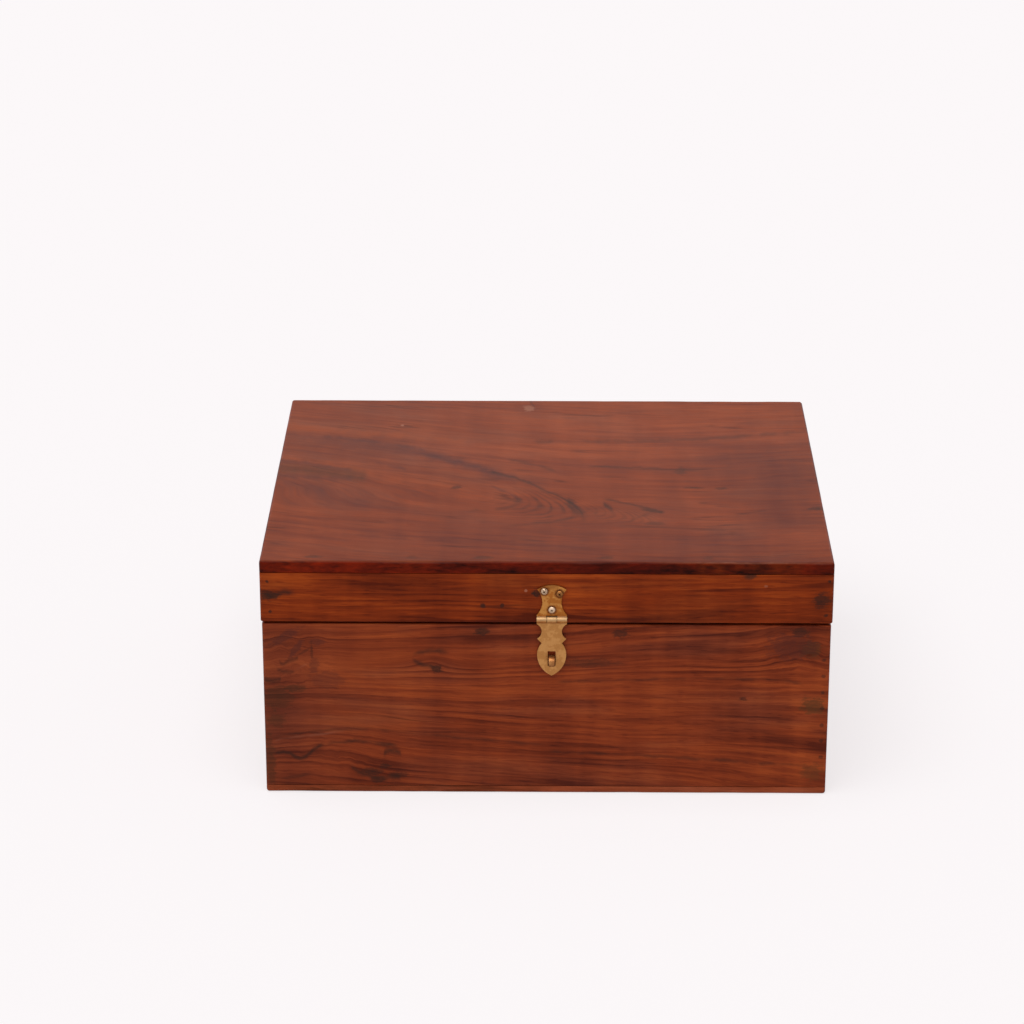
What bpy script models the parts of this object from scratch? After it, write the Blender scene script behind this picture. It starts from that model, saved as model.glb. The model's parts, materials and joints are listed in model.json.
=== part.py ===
"""Wooden jewellery box with a lid on two butt hinges and a shaped brass hasp.

Metres, +Z up, front towards -Y. The origin is the middle of the underside.
"""

import math

import bmesh
import bpy
from mathutils import Vector

# Box
BOX_WIDTH = 0.305
BOX_DEPTH = 0.254
BODY_HEIGHT = 0.1004
BOARD_THICKNESS = 0.014
SIDE_THICKNESS = 0.014
BOTTOM_THICKNESS = 0.004
ARRIS_RADIUS = 0.0016
RIM_RADIUS = 0.0006

# Lid
LID_GAP = 0.0008
LID_RAIL_HEIGHT = 0.0286
LID_TOP_THICKNESS = 0.0064
LID_OVERHANG = 0.0006

# Clearances
FIT_GAP = 0.0003
PIN_CLEARANCE = 0.00015

# Nails, driven by hand: the rows in the top are uneven shares of its length
NAIL_LENGTH = 0.032
TOP_NAIL_LENGTH = 0.02
BOTTOM_NAIL_LENGTH = 0.016
NAIL_RADIUS = 0.0009
NAIL_HEAD_RADIUS = 0.0017
NAIL_HEAD_DEPTH = 0.0012
NAIL_RECESS = 0.0002
CORNER_NAIL_COUNT = 3
CORNER_NAIL_FOOT = 0.008
CORNER_NAIL_TOP = 0.014
TOP_NAIL_FRONT_SHARES = (0.095, 0.265, 0.389, 0.604, 0.781)
TOP_NAIL_BACK_SHARES = (0.1, 0.464, 0.9)
BOTTOM_NAIL_INSET = 0.033

# Butt hinges
HINGE_LENGTH = 0.038
HINGE_END_DISTANCE = 0.0385
HINGE_LEAF_WIDTH = 0.009
HINGE_LEAF_THICKNESS = 0.0012
HINGE_KNUCKLE_RADIUS = 0.0024
HINGE_PIN_RADIUS = 0.0011
HINGE_SCREW_SPACING = 0.023
HINGE_SCREW_LENGTH = 0.011
HINGE_SCREW_RADIUS = 0.0012
HINGE_SCREW_HEAD_RADIUS = 0.0022

# Hasp, whose plate and strap are rolled from one sheet thickness
HASP_OFFSET = 0.0029
HASP_AXIS_RISE = 0.003
HASP_SHEET = 0.0009
HASP_HALF_WIDTH = 0.0081
HASP_KNUCKLE_RADIUS = 0.0017
HASP_PIN_RADIUS = 0.0007
HASP_PLATE_RISE = 0.0195
HASP_PLATE_WING_DROP = 0.0025
HASP_PLATE_WAIST = 0.0051
HASP_STRAP_LENGTH = 0.0331
HASP_STRAP_WAIST = 0.0054
HASP_STRAP_CUSP_DROP = 0.0115
HASP_STRAP_NECK_DROP = 0.0141
HASP_STRAP_LEAF_DROP = 0.0208
HASP_SLOT_WIDTH = 0.0042
HASP_SLOT_TOP = 0.0188
HASP_SLOT_BOTTOM = 0.0274
HASP_SCREW_LENGTH = 0.009
HASP_SCREW_RADIUS = 0.001
HASP_SCREW_HEAD_RADIUS = 0.0019
HASP_SCREW_HEAD_HEIGHT = 0.0011
HASP_SCREW_SPREAD = 0.0041
HASP_SCREW_LEFT_RISE = 0.0161
HASP_SCREW_RIGHT_RISE = 0.0147
HASP_SCREW_LOWER_RISE = 0.0054

# Staple
STAPLE_WIDTH = 0.0032
STAPLE_STRIP = 0.0009
STAPLE_HEIGHT = 0.0052
STAPLE_REACH = 0.0064
STAPLE_LEG = 0.009
STAPLE_SLOT_CLEARANCE = 0.0007

# Facets of round pieces
NAIL_SIDES = 8
SCREW_SIDES = 12
KNUCKLE_SIDES = 20
ARC_STEPS = 10

# Derived positions
HALF_WIDTH = BOX_WIDTH / 2
HALF_DEPTH = BOX_DEPTH / 2
LID_HALF_WIDTH = HALF_WIDTH + LID_OVERHANG
LID_HALF_DEPTH = HALF_DEPTH + LID_OVERHANG
WALL_FOOT = BOTTOM_THICKNESS + FIT_GAP
RAIL_FOOT = BODY_HEIGHT + LID_GAP
RAIL_TOP = RAIL_FOOT + LID_RAIL_HEIGHT
LID_TOP = RAIL_TOP + FIT_GAP + LID_TOP_THICKNESS
LID_AXIS = Vector((0, LID_HALF_DEPTH + FIT_GAP + HINGE_KNUCKLE_RADIUS, BODY_HEIGHT + LID_GAP / 2))
HASP_BACK = -LID_HALF_DEPTH - FIT_GAP
HASP_AXIS = Vector((HASP_OFFSET, HASP_BACK - HASP_KNUCKLE_RADIUS, RAIL_FOOT + HASP_AXIS_RISE))
HASP_FRONT = HASP_BACK - HASP_SHEET

LEFT, RIGHT = Vector((-1, 0, 0)), Vector((1, 0, 0))
FRONT, BACK = Vector((0, -1, 0)), Vector((0, 1, 0))
DOWN, UP = Vector((0, 0, -1)), Vector((0, 0, 1))


def clear_scene():
    for old in list(bpy.data.objects):
        bpy.data.objects.remove(old, do_unlink=True)


def make_material(name, colour, roughness, metallic=0.0):
    material = bpy.data.materials.new(name)
    material.use_nodes = True
    shader = material.node_tree.nodes["Principled BSDF"]
    shader.inputs["Base Color"].default_value = (*colour, 1.0)
    shader.inputs["Roughness"].default_value = roughness
    shader.inputs["Metallic"].default_value = metallic
    return material


def make_axis(name, point, parent=None):
    """An empty on a joint's axis, to which the pieces that turn about it are parented."""
    empty = bpy.data.objects.new(name, None)
    bpy.context.collection.objects.link(empty)
    attach(empty, point, parent)
    return empty


def world_point(node):
    """Where an unrotated empty stands."""
    point = Vector((0, 0, 0))
    while node is not None:
        point += node.location
        node = node.parent
    return point


def attach(piece, point, parent):
    piece.parent = parent
    piece.location = Vector(point) - world_point(parent)


def add_piece(name, mesh, point, parent, material, smooth=False):
    piece = bpy.data.objects.new(name, mesh)
    bpy.context.collection.objects.link(piece)
    attach(piece, point, parent)
    if not mesh.materials:
        mesh.materials.append(material)
    if smooth:
        mesh.shade_smooth()
    return piece


def add_cutter(name, mesh, point=(0, 0, 0)):
    cutter = bpy.data.objects.new(name, mesh)
    bpy.context.collection.objects.link(cutter)
    cutter.location = point
    cutter.hide_render = True
    cutter.display_type = "WIRE"
    return cutter


def boolean(piece, cutter, operation="DIFFERENCE"):
    modifier = piece.modifiers.new(cutter.name, "BOOLEAN")
    modifier.operation = operation
    modifier.object = cutter
    modifier.solver = "EXACT"


def finish_mesh(name, shape):
    bmesh.ops.recalc_face_normals(shape, faces=shape.faces)
    mesh = bpy.data.meshes.new(name)
    shape.to_mesh(mesh)
    shape.free()
    return mesh


def add_block(shape, low, high):
    """A rectangular block between two corners, added to the shape."""
    low, high = Vector(low), Vector(high)
    made = bmesh.ops.create_cube(shape, size=1.0)["verts"]
    bmesh.ops.scale(shape, vec=high - low, verts=made)
    bmesh.ops.translate(shape, vec=(low + high) / 2, verts=made)
    return made


def round_edges(shape, pairs, radius):
    """Rounds the edges in which each pair of outward directions meet."""
    chosen = []
    for edge in shape.edges:
        normals = [face.normal for face in edge.link_faces]
        for first, second in pairs:
            if (normals[0] - first).length + (normals[1] - second).length < 0.01:
                chosen.append(edge)
            elif (normals[0] - second).length + (normals[1] - first).length < 0.01:
                chosen.append(edge)
    bmesh.ops.bevel(shape, geom=chosen, offset=radius, segments=3, profile=0.5, affect="EDGES")
    shape.normal_update()


def make_board(name, low, high, parent, material, corners=(), rims=()):
    """A board between two corners. Corner edges get the arris radius, rim edges the small one."""
    low, high = Vector(low), Vector(high)
    middle = (low + high) / 2
    shape = bmesh.new()
    add_block(shape, low - middle, high - middle)
    shape.normal_update()
    if rims:
        round_edges(shape, rims, RIM_RADIUS)
    if corners:
        round_edges(shape, corners, ARRIS_RADIUS)
    return add_piece(name, finish_mesh(name, shape), middle, parent, material)


def turned_mesh(name, profiles, sides):
    """A solid of revolution about Z for each (profile, point, direction), all in one mesh."""
    shape = bmesh.new()
    for profile, point, direction in profiles:
        verts = [shape.verts.new((radius, 0, height)) for radius, height in profile]
        edges = [shape.edges.new(pair) for pair in zip(verts, verts[1:])]
        bmesh.ops.spin(
            shape,
            geom=verts + edges,
            cent=(0, 0, 0),
            axis=(0, 0, 1),
            angle=2 * math.pi,
            steps=sides,
            use_merge=True,
        )
        shape.verts.index_update()
        made = [vert for vert in shape.verts if vert.tag is False]
        turn = UP.rotation_difference(Vector(direction)).to_matrix()
        bmesh.ops.rotate(shape, cent=(0, 0, 0), matrix=turn, verts=made)
        bmesh.ops.translate(shape, vec=point, verts=made)
        for vert in made:
            vert.tag = True
    bmesh.ops.remove_doubles(shape, verts=shape.verts, dist=0.000001)
    return finish_mesh(name, shape)


def prism_mesh(name, outline, axis, start, end):
    """A closed outline of (u, v) points extruded along X as (y, z), or along Y as (x, z)."""
    shape = bmesh.new()
    if axis == "X":
        verts = [shape.verts.new((start, u, v)) for u, v in outline]
        step = Vector((end - start, 0, 0))
    else:
        verts = [shape.verts.new((u, start, v)) for u, v in outline]
        step = Vector((0, end - start, 0))
    face = shape.faces.new(verts)
    grown = bmesh.ops.extrude_face_region(shape, geom=[face])["geom"]
    moved = [item for item in grown if isinstance(item, bmesh.types.BMVert)]
    bmesh.ops.translate(shape, vec=step, verts=moved)
    return finish_mesh(name, shape)


def arc(centre, radius, start, end, steps=ARC_STEPS):
    """Points on a circle from one angle to another, both included."""
    points = []
    for index in range(steps + 1):
        angle = start + (end - start) * index / steps
        points.append((centre[0] + radius * math.cos(angle), centre[1] + radius * math.sin(angle)))
    return points


def arc_through(first, middle, last, steps=ARC_STEPS):
    """Points on the circle through three points, from the first to the last."""
    (ax, ay), (bx, by), (cx, cy) = first, middle, last
    scale = 2 * (ax * (by - cy) + bx * (cy - ay) + cx * (ay - by))
    a_sq, b_sq, c_sq = ax * ax + ay * ay, bx * bx + by * by, cx * cx + cy * cy
    centre = (
        (a_sq * (by - cy) + b_sq * (cy - ay) + c_sq * (ay - by)) / scale,
        (a_sq * (cx - bx) + b_sq * (ax - cx) + c_sq * (bx - ax)) / scale,
    )
    angles = [math.atan2(y - centre[1], x - centre[0]) for x, y in (first, middle, last)]
    full = 2 * math.pi
    to_middle, to_last = (angles[1] - angles[0]) % full, (angles[2] - angles[0]) % full
    sweep = to_last if to_middle < to_last else to_last - full
    radius = math.dist(centre, first)
    return arc(centre, radius, angles[0], angles[0] + sweep, steps)


def mirrored(half):
    """A closed outline from its right half, which runs from the axis and back to it."""
    return half + [(-x, y) for x, y in reversed(half) if x > 0.000001]


def nail_profile(length):
    neck = -NAIL_RECESS - NAIL_HEAD_DEPTH
    return [
        (0, -NAIL_RECESS),
        (NAIL_HEAD_RADIUS, -NAIL_RECESS),
        (NAIL_HEAD_RADIUS, neck),
        (NAIL_RADIUS, neck),
        (NAIL_RADIUS, -length + 2 * NAIL_RADIUS),
        (0, -length),
    ]


def hole_profile(profile):
    """The hole for a turned fastener: wider all round, deeper, and open past its head."""
    hole = [(radius + FIT_GAP, height) for radius, height in profile[1:-1]]
    hole[0] = (hole[0][0], FIT_GAP)
    for index in range(1, len(hole)):
        if hole[index][1] < hole[0][1]:
            hole[index] = (hole[index][0], hole[index][1] - FIT_GAP / 2)
    tip = profile[-1][1] - 2 * FIT_GAP
    return [(0, FIT_GAP), *hole, (0, tip)]


def add_fasteners(group, places, profile, sides, parent, material, targets):
    """One solid for each (name, point, outward direction), and their holes in the targets."""
    mesh = turned_mesh(group, [(profile, (0, 0, 0), UP)], sides)
    for name, point, direction in places:
        piece = add_piece(name, mesh, point, parent, material)
        piece.rotation_mode = "QUATERNION"
        piece.rotation_quaternion = UP.rotation_difference(direction)
    bore = hole_profile(profile)
    holes = [(bore, point, direction) for name, point, direction in places]
    cutter = add_cutter(group + "_holes", turned_mesh(group + "_holes", holes, sides))
    for target in targets:
        boolean(target, cutter)


def build_body(wood, bottom_wood):
    inner_x = HALF_WIDTH - SIDE_THICKNESS
    side_y = HALF_DEPTH - BOARD_THICKNESS - FIT_GAP
    pieces = {}
    for name, face, near in (("front_board", FRONT, -1), ("back_board", BACK, 1)):
        outer, inner = near * HALF_DEPTH, near * (HALF_DEPTH - BOARD_THICKNESS)
        pieces[name] = make_board(
            name,
            (-HALF_WIDTH, min(outer, inner), WALL_FOOT),
            (HALF_WIDTH, max(outer, inner), BODY_HEIGHT),
            None,
            wood,
            corners=[(face, LEFT), (face, RIGHT)],
            rims=[(face, UP)],
        )
    for name, face, near in (("left_side_board", LEFT, -1), ("right_side_board", RIGHT, 1)):
        pieces[name] = make_board(
            name,
            (min(near * HALF_WIDTH, near * inner_x), -side_y, WALL_FOOT),
            (max(near * HALF_WIDTH, near * inner_x), side_y, BODY_HEIGHT),
            None,
            wood,
            rims=[(face, UP)],
        )
    upright = [(FRONT, LEFT), (FRONT, RIGHT), (BACK, LEFT), (BACK, RIGHT)]
    foot = [(DOWN, side) for side in (FRONT, BACK, LEFT, RIGHT)]
    pieces["bottom_board"] = make_board(
        "bottom_board",
        (-HALF_WIDTH, -HALF_DEPTH, 0),
        (HALF_WIDTH, HALF_DEPTH, BOTTOM_THICKNESS),
        None,
        bottom_wood,
        corners=upright + foot,
    )
    return pieces


def build_lid(axis, wood):
    inner_x = LID_HALF_WIDTH - SIDE_THICKNESS
    side_y = LID_HALF_DEPTH - BOARD_THICKNESS - FIT_GAP
    pieces = {}
    for name, face, near in (("lid_front_rail", FRONT, -1), ("lid_back_rail", BACK, 1)):
        outer, inner = near * LID_HALF_DEPTH, near * (LID_HALF_DEPTH - BOARD_THICKNESS)
        pieces[name] = make_board(
            name,
            (-LID_HALF_WIDTH, min(outer, inner), RAIL_FOOT),
            (LID_HALF_WIDTH, max(outer, inner), RAIL_TOP),
            axis,
            wood,
            corners=[(face, LEFT), (face, RIGHT)],
            rims=[(face, DOWN)],
        )
    for name, face, near in (("lid_left_rail", LEFT, -1), ("lid_right_rail", RIGHT, 1)):
        outer, inner = near * LID_HALF_WIDTH, near * inner_x
        pieces[name] = make_board(
            name,
            (min(outer, inner), -side_y, RAIL_FOOT),
            (max(outer, inner), side_y, RAIL_TOP),
            axis,
            wood,
            rims=[(face, DOWN)],
        )
    sides = (FRONT, BACK, LEFT, RIGHT)
    upright = [(FRONT, LEFT), (FRONT, RIGHT), (BACK, LEFT), (BACK, RIGHT)]
    pieces["lid_top_board"] = make_board(
        "lid_top_board",
        (-LID_HALF_WIDTH, -LID_HALF_DEPTH, RAIL_TOP + FIT_GAP),
        (LID_HALF_WIDTH, LID_HALF_DEPTH, LID_TOP),
        axis,
        wood,
        corners=upright + [(UP, side) for side in sides],
    )
    return pieces


def build_nails(body, lid, axis, iron):
    rise = BODY_HEIGHT - CORNER_NAIL_TOP - WALL_FOOT - CORNER_NAIL_FOOT
    heights = [
        WALL_FOOT + CORNER_NAIL_FOOT + rise * index / (CORNER_NAIL_COUNT - 1)
        for index in range(CORNER_NAIL_COUNT)
    ]
    corners = [
        (end, side, direction, y_sign, x_sign)
        for end, direction, y_sign in (("front", FRONT, -1), ("back", BACK, 1))
        for side, x_sign in (("left", -1), ("right", 1))
    ]
    profile = nail_profile(NAIL_LENGTH)

    nail_x = HALF_WIDTH - SIDE_THICKNESS / 2
    for end, direction, y_sign in (("front", FRONT, -1), ("back", BACK, 1)):
        places = [
            (f"{end}_{side}_nail_{index + 1}", Vector((x_sign * nail_x, y_sign * HALF_DEPTH, height)), direction)
            for side, x_sign in (("left", -1), ("right", 1))
            for index, height in enumerate(heights)
        ]
        targets = [body[end + "_board"], body["left_side_board"], body["right_side_board"]]
        add_fasteners(end + "_corner_nail", places, profile, NAIL_SIDES, None, iron, targets)

    lid_x = LID_HALF_WIDTH - SIDE_THICKNESS / 2
    middle = (RAIL_FOOT + RAIL_TOP) / 2
    places = [
        (f"lid_{end}_{side}_nail", Vector((x_sign * lid_x, y_sign * LID_HALF_DEPTH, middle)), direction)
        for end, side, direction, y_sign, x_sign in corners
    ]
    targets = [lid[name] for name in ("lid_front_rail", "lid_back_rail", "lid_left_rail", "lid_right_rail")]
    add_fasteners("lid_corner_nail", places, profile, NAIL_SIDES, axis, iron, targets)

    rail_y = LID_HALF_DEPTH - BOARD_THICKNESS / 2
    profile = nail_profile(TOP_NAIL_LENGTH)
    for end, y_sign, shares in (("front", -1, TOP_NAIL_FRONT_SHARES), ("back", 1, TOP_NAIL_BACK_SHARES)):
        places = [
            (
                f"top_{end}_nail_{index + 1}",
                Vector((LID_HALF_WIDTH * (2 * share - 1), y_sign * rail_y, LID_TOP)),
                UP,
            )
            for index, share in enumerate(shares)
        ]
        targets = [lid["lid_top_board"], lid[f"lid_{end}_rail"]]
        add_fasteners(f"top_{end}_nail", places, profile, NAIL_SIDES, axis, iron, targets)

    board_y = HALF_DEPTH - BOARD_THICKNESS / 2
    places = [
        (
            f"bottom_{end}_{side}_nail",
            Vector((x_sign * (HALF_WIDTH - BOTTOM_NAIL_INSET), y_sign * board_y, 0)),
            DOWN,
        )
        for end, side, direction, y_sign, x_sign in corners
    ]
    targets = [body["bottom_board"], body["front_board"], body["back_board"]]
    profile = nail_profile(BOTTOM_NAIL_LENGTH)
    add_fasteners("bottom_nail", places, profile, NAIL_SIDES, None, iron, targets)


def leaf_outline(side):
    """Section of a hinge leaf through its knuckle, about the axis: side is 1 above it, -1 below."""
    near, far = LID_GAP / 2, LID_GAP / 2 + HINGE_LEAF_THICKNESS
    reach = LID_AXIS.y - HALF_DEPTH + HINGE_LEAF_WIDTH
    start = math.pi + math.asin(far / HINGE_KNUCKLE_RADIUS)
    end = 3 * math.pi + math.asin(near / HINGE_KNUCKLE_RADIUS)
    knuckle = arc((0, 0), HINGE_KNUCKLE_RADIUS, start, end, KNUCKLE_SIDES)
    points = [(-reach, -near), (-reach, -far), *knuckle]
    return [(y, -side * z) for y, z in points]


def knuckle_notch_mesh(name, spans, radius):
    """Blocks that clear the other leaf's knuckles, for spans along the axis."""
    shape = bmesh.new()
    reach = radius + FIT_GAP
    for low, high in spans:
        add_block(shape, (low, -reach, -2 * reach), (high, 2 * reach, 2 * reach))
    return finish_mesh(name, shape)


def pin_mesh(name, radius, length, sides):
    half, round_off = length / 2, radius / 3
    profile = [
        (0, -half),
        (radius - round_off, -half),
        (radius, -half + round_off),
        (radius, half - round_off),
        (radius - round_off, half),
        (0, half),
    ]
    return turned_mesh(name, [(profile, (0, 0, 0), RIGHT)], sides)


def build_hinges(body, lid, axis, brass, steel):
    third = HINGE_LENGTH / 6
    half = HINGE_LENGTH / 2
    notches = {
        "box": [(-third - FIT_GAP / 2, third + FIT_GAP / 2)],
        "lid": [(-half - FIT_GAP, -third + FIT_GAP / 2), (third - FIT_GAP / 2, half + FIT_GAP)],
    }
    head_drop = HINGE_SCREW_HEAD_RADIUS - HINGE_SCREW_RADIUS
    screw = [
        (0, -FIT_GAP / 2),
        (HINGE_SCREW_HEAD_RADIUS, -FIT_GAP / 2),
        (HINGE_SCREW_RADIUS, -FIT_GAP / 2 - head_drop),
        (HINGE_SCREW_RADIUS, -HINGE_SCREW_LENGTH + 2 * HINGE_SCREW_RADIUS),
        (0, -HINGE_SCREW_LENGTH),
    ]
    bore_radius = HINGE_PIN_RADIUS + PIN_CLEARANCE
    screw_y = HALF_DEPTH - HINGE_LEAF_WIDTH / 2
    for side, x_sign in (("left", -1), ("right", 1)):
        x = x_sign * (HALF_WIDTH - HINGE_END_DISTANCE - half)
        centre = Vector((x, LID_AXIS.y, LID_AXIS.z))
        bore = add_cutter(f"{side}_hinge_bore", pin_mesh("hinge_bore", bore_radius, 1.2 * HINGE_LENGTH, KNUCKLE_SIDES), centre)
        for owner, up_sign, parent, wood, face in (
            ("box", -1, None, body["back_board"], UP),
            ("lid", 1, axis, lid["lid_back_rail"], DOWN),
        ):
            name = f"{side}_hinge_{owner}_leaf"
            mesh = prism_mesh(name, leaf_outline(up_sign), "X", -half, half)
            leaf = add_piece(name, mesh, centre, parent, brass)
            clearing = knuckle_notch_mesh(name + "_notch", notches[owner], HINGE_KNUCKLE_RADIUS)
            boolean(leaf, add_cutter(name + "_notch", clearing, centre))
            boolean(leaf, bore)

            # The mortise opens through the back face and the edge that the leaf lies flush with
            edge, floor = up_sign * LID_GAP / 2, up_sign * (LID_GAP / 2 + HINGE_LEAF_THICKNESS + FIT_GAP)
            shape = bmesh.new()
            reach = LID_AXIS.y - HALF_DEPTH + HINGE_LEAF_WIDTH + FIT_GAP
            add_block(
                shape,
                (-half - FIT_GAP, -reach, min(edge - up_sign * LID_GAP / 2, floor)),
                (half + FIT_GAP, 0, max(edge - up_sign * LID_GAP / 2, floor)),
            )
            boolean(wood, add_cutter(name + "_mortise", finish_mesh(name + "_mortise", shape), centre))
            places = [
                (
                    f"{side}_hinge_{owner}_screw_{index + 1}",
                    Vector((x + offset, screw_y, LID_AXIS.z + edge)),
                    face,
                )
                for index, offset in enumerate((-HINGE_SCREW_SPACING / 2, HINGE_SCREW_SPACING / 2))
            ]
            group = f"{side}_hinge_{owner}_screw"
            add_fasteners(group, places, screw, SCREW_SIDES, parent, steel, [leaf, wood])
        pin = pin_mesh(f"{side}_hinge_pin", HINGE_PIN_RADIUS, HINGE_LENGTH, KNUCKLE_SIDES)
        add_piece(f"{side}_hinge_pin", pin, centre, None, steel, smooth=True)


def rolled_outline(length, side):
    """Section of a sheet that hangs from a knuckle, about its axis: side is 1 above it, -1 below."""
    back, front = HASP_KNUCKLE_RADIUS, HASP_KNUCKLE_RADIUS - HASP_SHEET
    end = 2 * math.pi + math.acos(front / HASP_KNUCKLE_RADIUS)
    knuckle = arc((0, 0), HASP_KNUCKLE_RADIUS, 2 * math.pi, end - 2 * math.pi, KNUCKLE_SIDES)
    points = [(back, length), *knuckle, (front, length)]
    return [(y, side * z) for y, z in points]


def plate_outline():
    """Front view of the hasp's plate about the pin's axis."""
    foot = -HASP_KNUCKLE_RADIUS - FIT_GAP
    shoulder = HASP_KNUCKLE_RADIUS + 2 * FIT_GAP
    wing = (HASP_HALF_WIDTH - FIT_GAP, HASP_PLATE_RISE - HASP_PLATE_WING_DROP)
    waist = (HASP_PLATE_WAIST, (shoulder + wing[1]) / 2)
    side = arc_through((HASP_HALF_WIDTH, shoulder), waist, wing)
    radius = (wing[0] ** 2 + HASP_PLATE_WING_DROP**2) / (2 * HASP_PLATE_WING_DROP)
    top = arc((0, HASP_PLATE_RISE - radius), radius, math.acos(wing[0] / radius), math.pi / 2)
    return mirrored([(0, foot), (HASP_HALF_WIDTH, foot), *side, *top[1:]])


def strap_outline():
    """Front view of the hasp's strap about the pin's axis, with its leaf-shaped end below."""
    head = HASP_KNUCKLE_RADIUS + FIT_GAP
    shoulder = -HASP_KNUCKLE_RADIUS - 4 * FIT_GAP
    cusp = (HASP_HALF_WIDTH - FIT_GAP, -HASP_STRAP_CUSP_DROP)
    waist = (HASP_STRAP_WAIST, (shoulder - HASP_STRAP_CUSP_DROP) / 2)
    notch = arc_through((HASP_HALF_WIDTH, shoulder), waist, cusp)
    neck = (HASP_STRAP_WAIST, -HASP_STRAP_NECK_DROP)
    leaf_width, leaf_z = HASP_HALF_WIDTH - FIT_GAP, -HASP_STRAP_LEAF_DROP

    # Each side of the leaf is upright where it is widest
    rise = HASP_STRAP_LEAF_DROP - HASP_STRAP_NECK_DROP
    step = leaf_width - HASP_STRAP_WAIST
    upper_radius = (rise * rise + step * step) / (2 * step)
    upper = arc(
        (leaf_width - upper_radius, leaf_z), upper_radius, math.asin(rise / upper_radius), 0
    )
    drop = HASP_STRAP_LENGTH - HASP_STRAP_LEAF_DROP
    lower_radius = (drop * drop + leaf_width * leaf_width) / (2 * leaf_width)
    lower = arc(
        (leaf_width - lower_radius, leaf_z), lower_radius, 0, -math.asin(drop / lower_radius)
    )
    half = [(0, head), (HASP_HALF_WIDTH, head), *notch, neck, *upper[1:], *lower[1:-1], (0, -HASP_STRAP_LENGTH)]
    return mirrored(half)


def slot_outline():
    """The strap's slot, punched square at both ends."""
    half = HASP_SLOT_WIDTH / 2
    return [
        (half, -HASP_SLOT_TOP),
        (-half, -HASP_SLOT_TOP),
        (-half, -HASP_SLOT_BOTTOM),
        (half, -HASP_SLOT_BOTTOM),
    ]


def staple_outline():
    """Side view of the staple about the middle of its round nose: pointed legs towards +Y."""
    outer = STAPLE_HEIGHT / 2
    inner = outer - STAPLE_STRIP
    back = STAPLE_REACH - outer + STAPLE_LEG
    tip = back - 2 * STAPLE_STRIP
    nose = arc((0, 0), outer, math.pi / 2, 3 * math.pi / 2)
    eye = arc((0, 0), inner, 3 * math.pi / 2, math.pi / 2)
    return [(back, inner), (tip, outer), *nose, (tip, -outer), (back, -inner), *eye]


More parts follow.
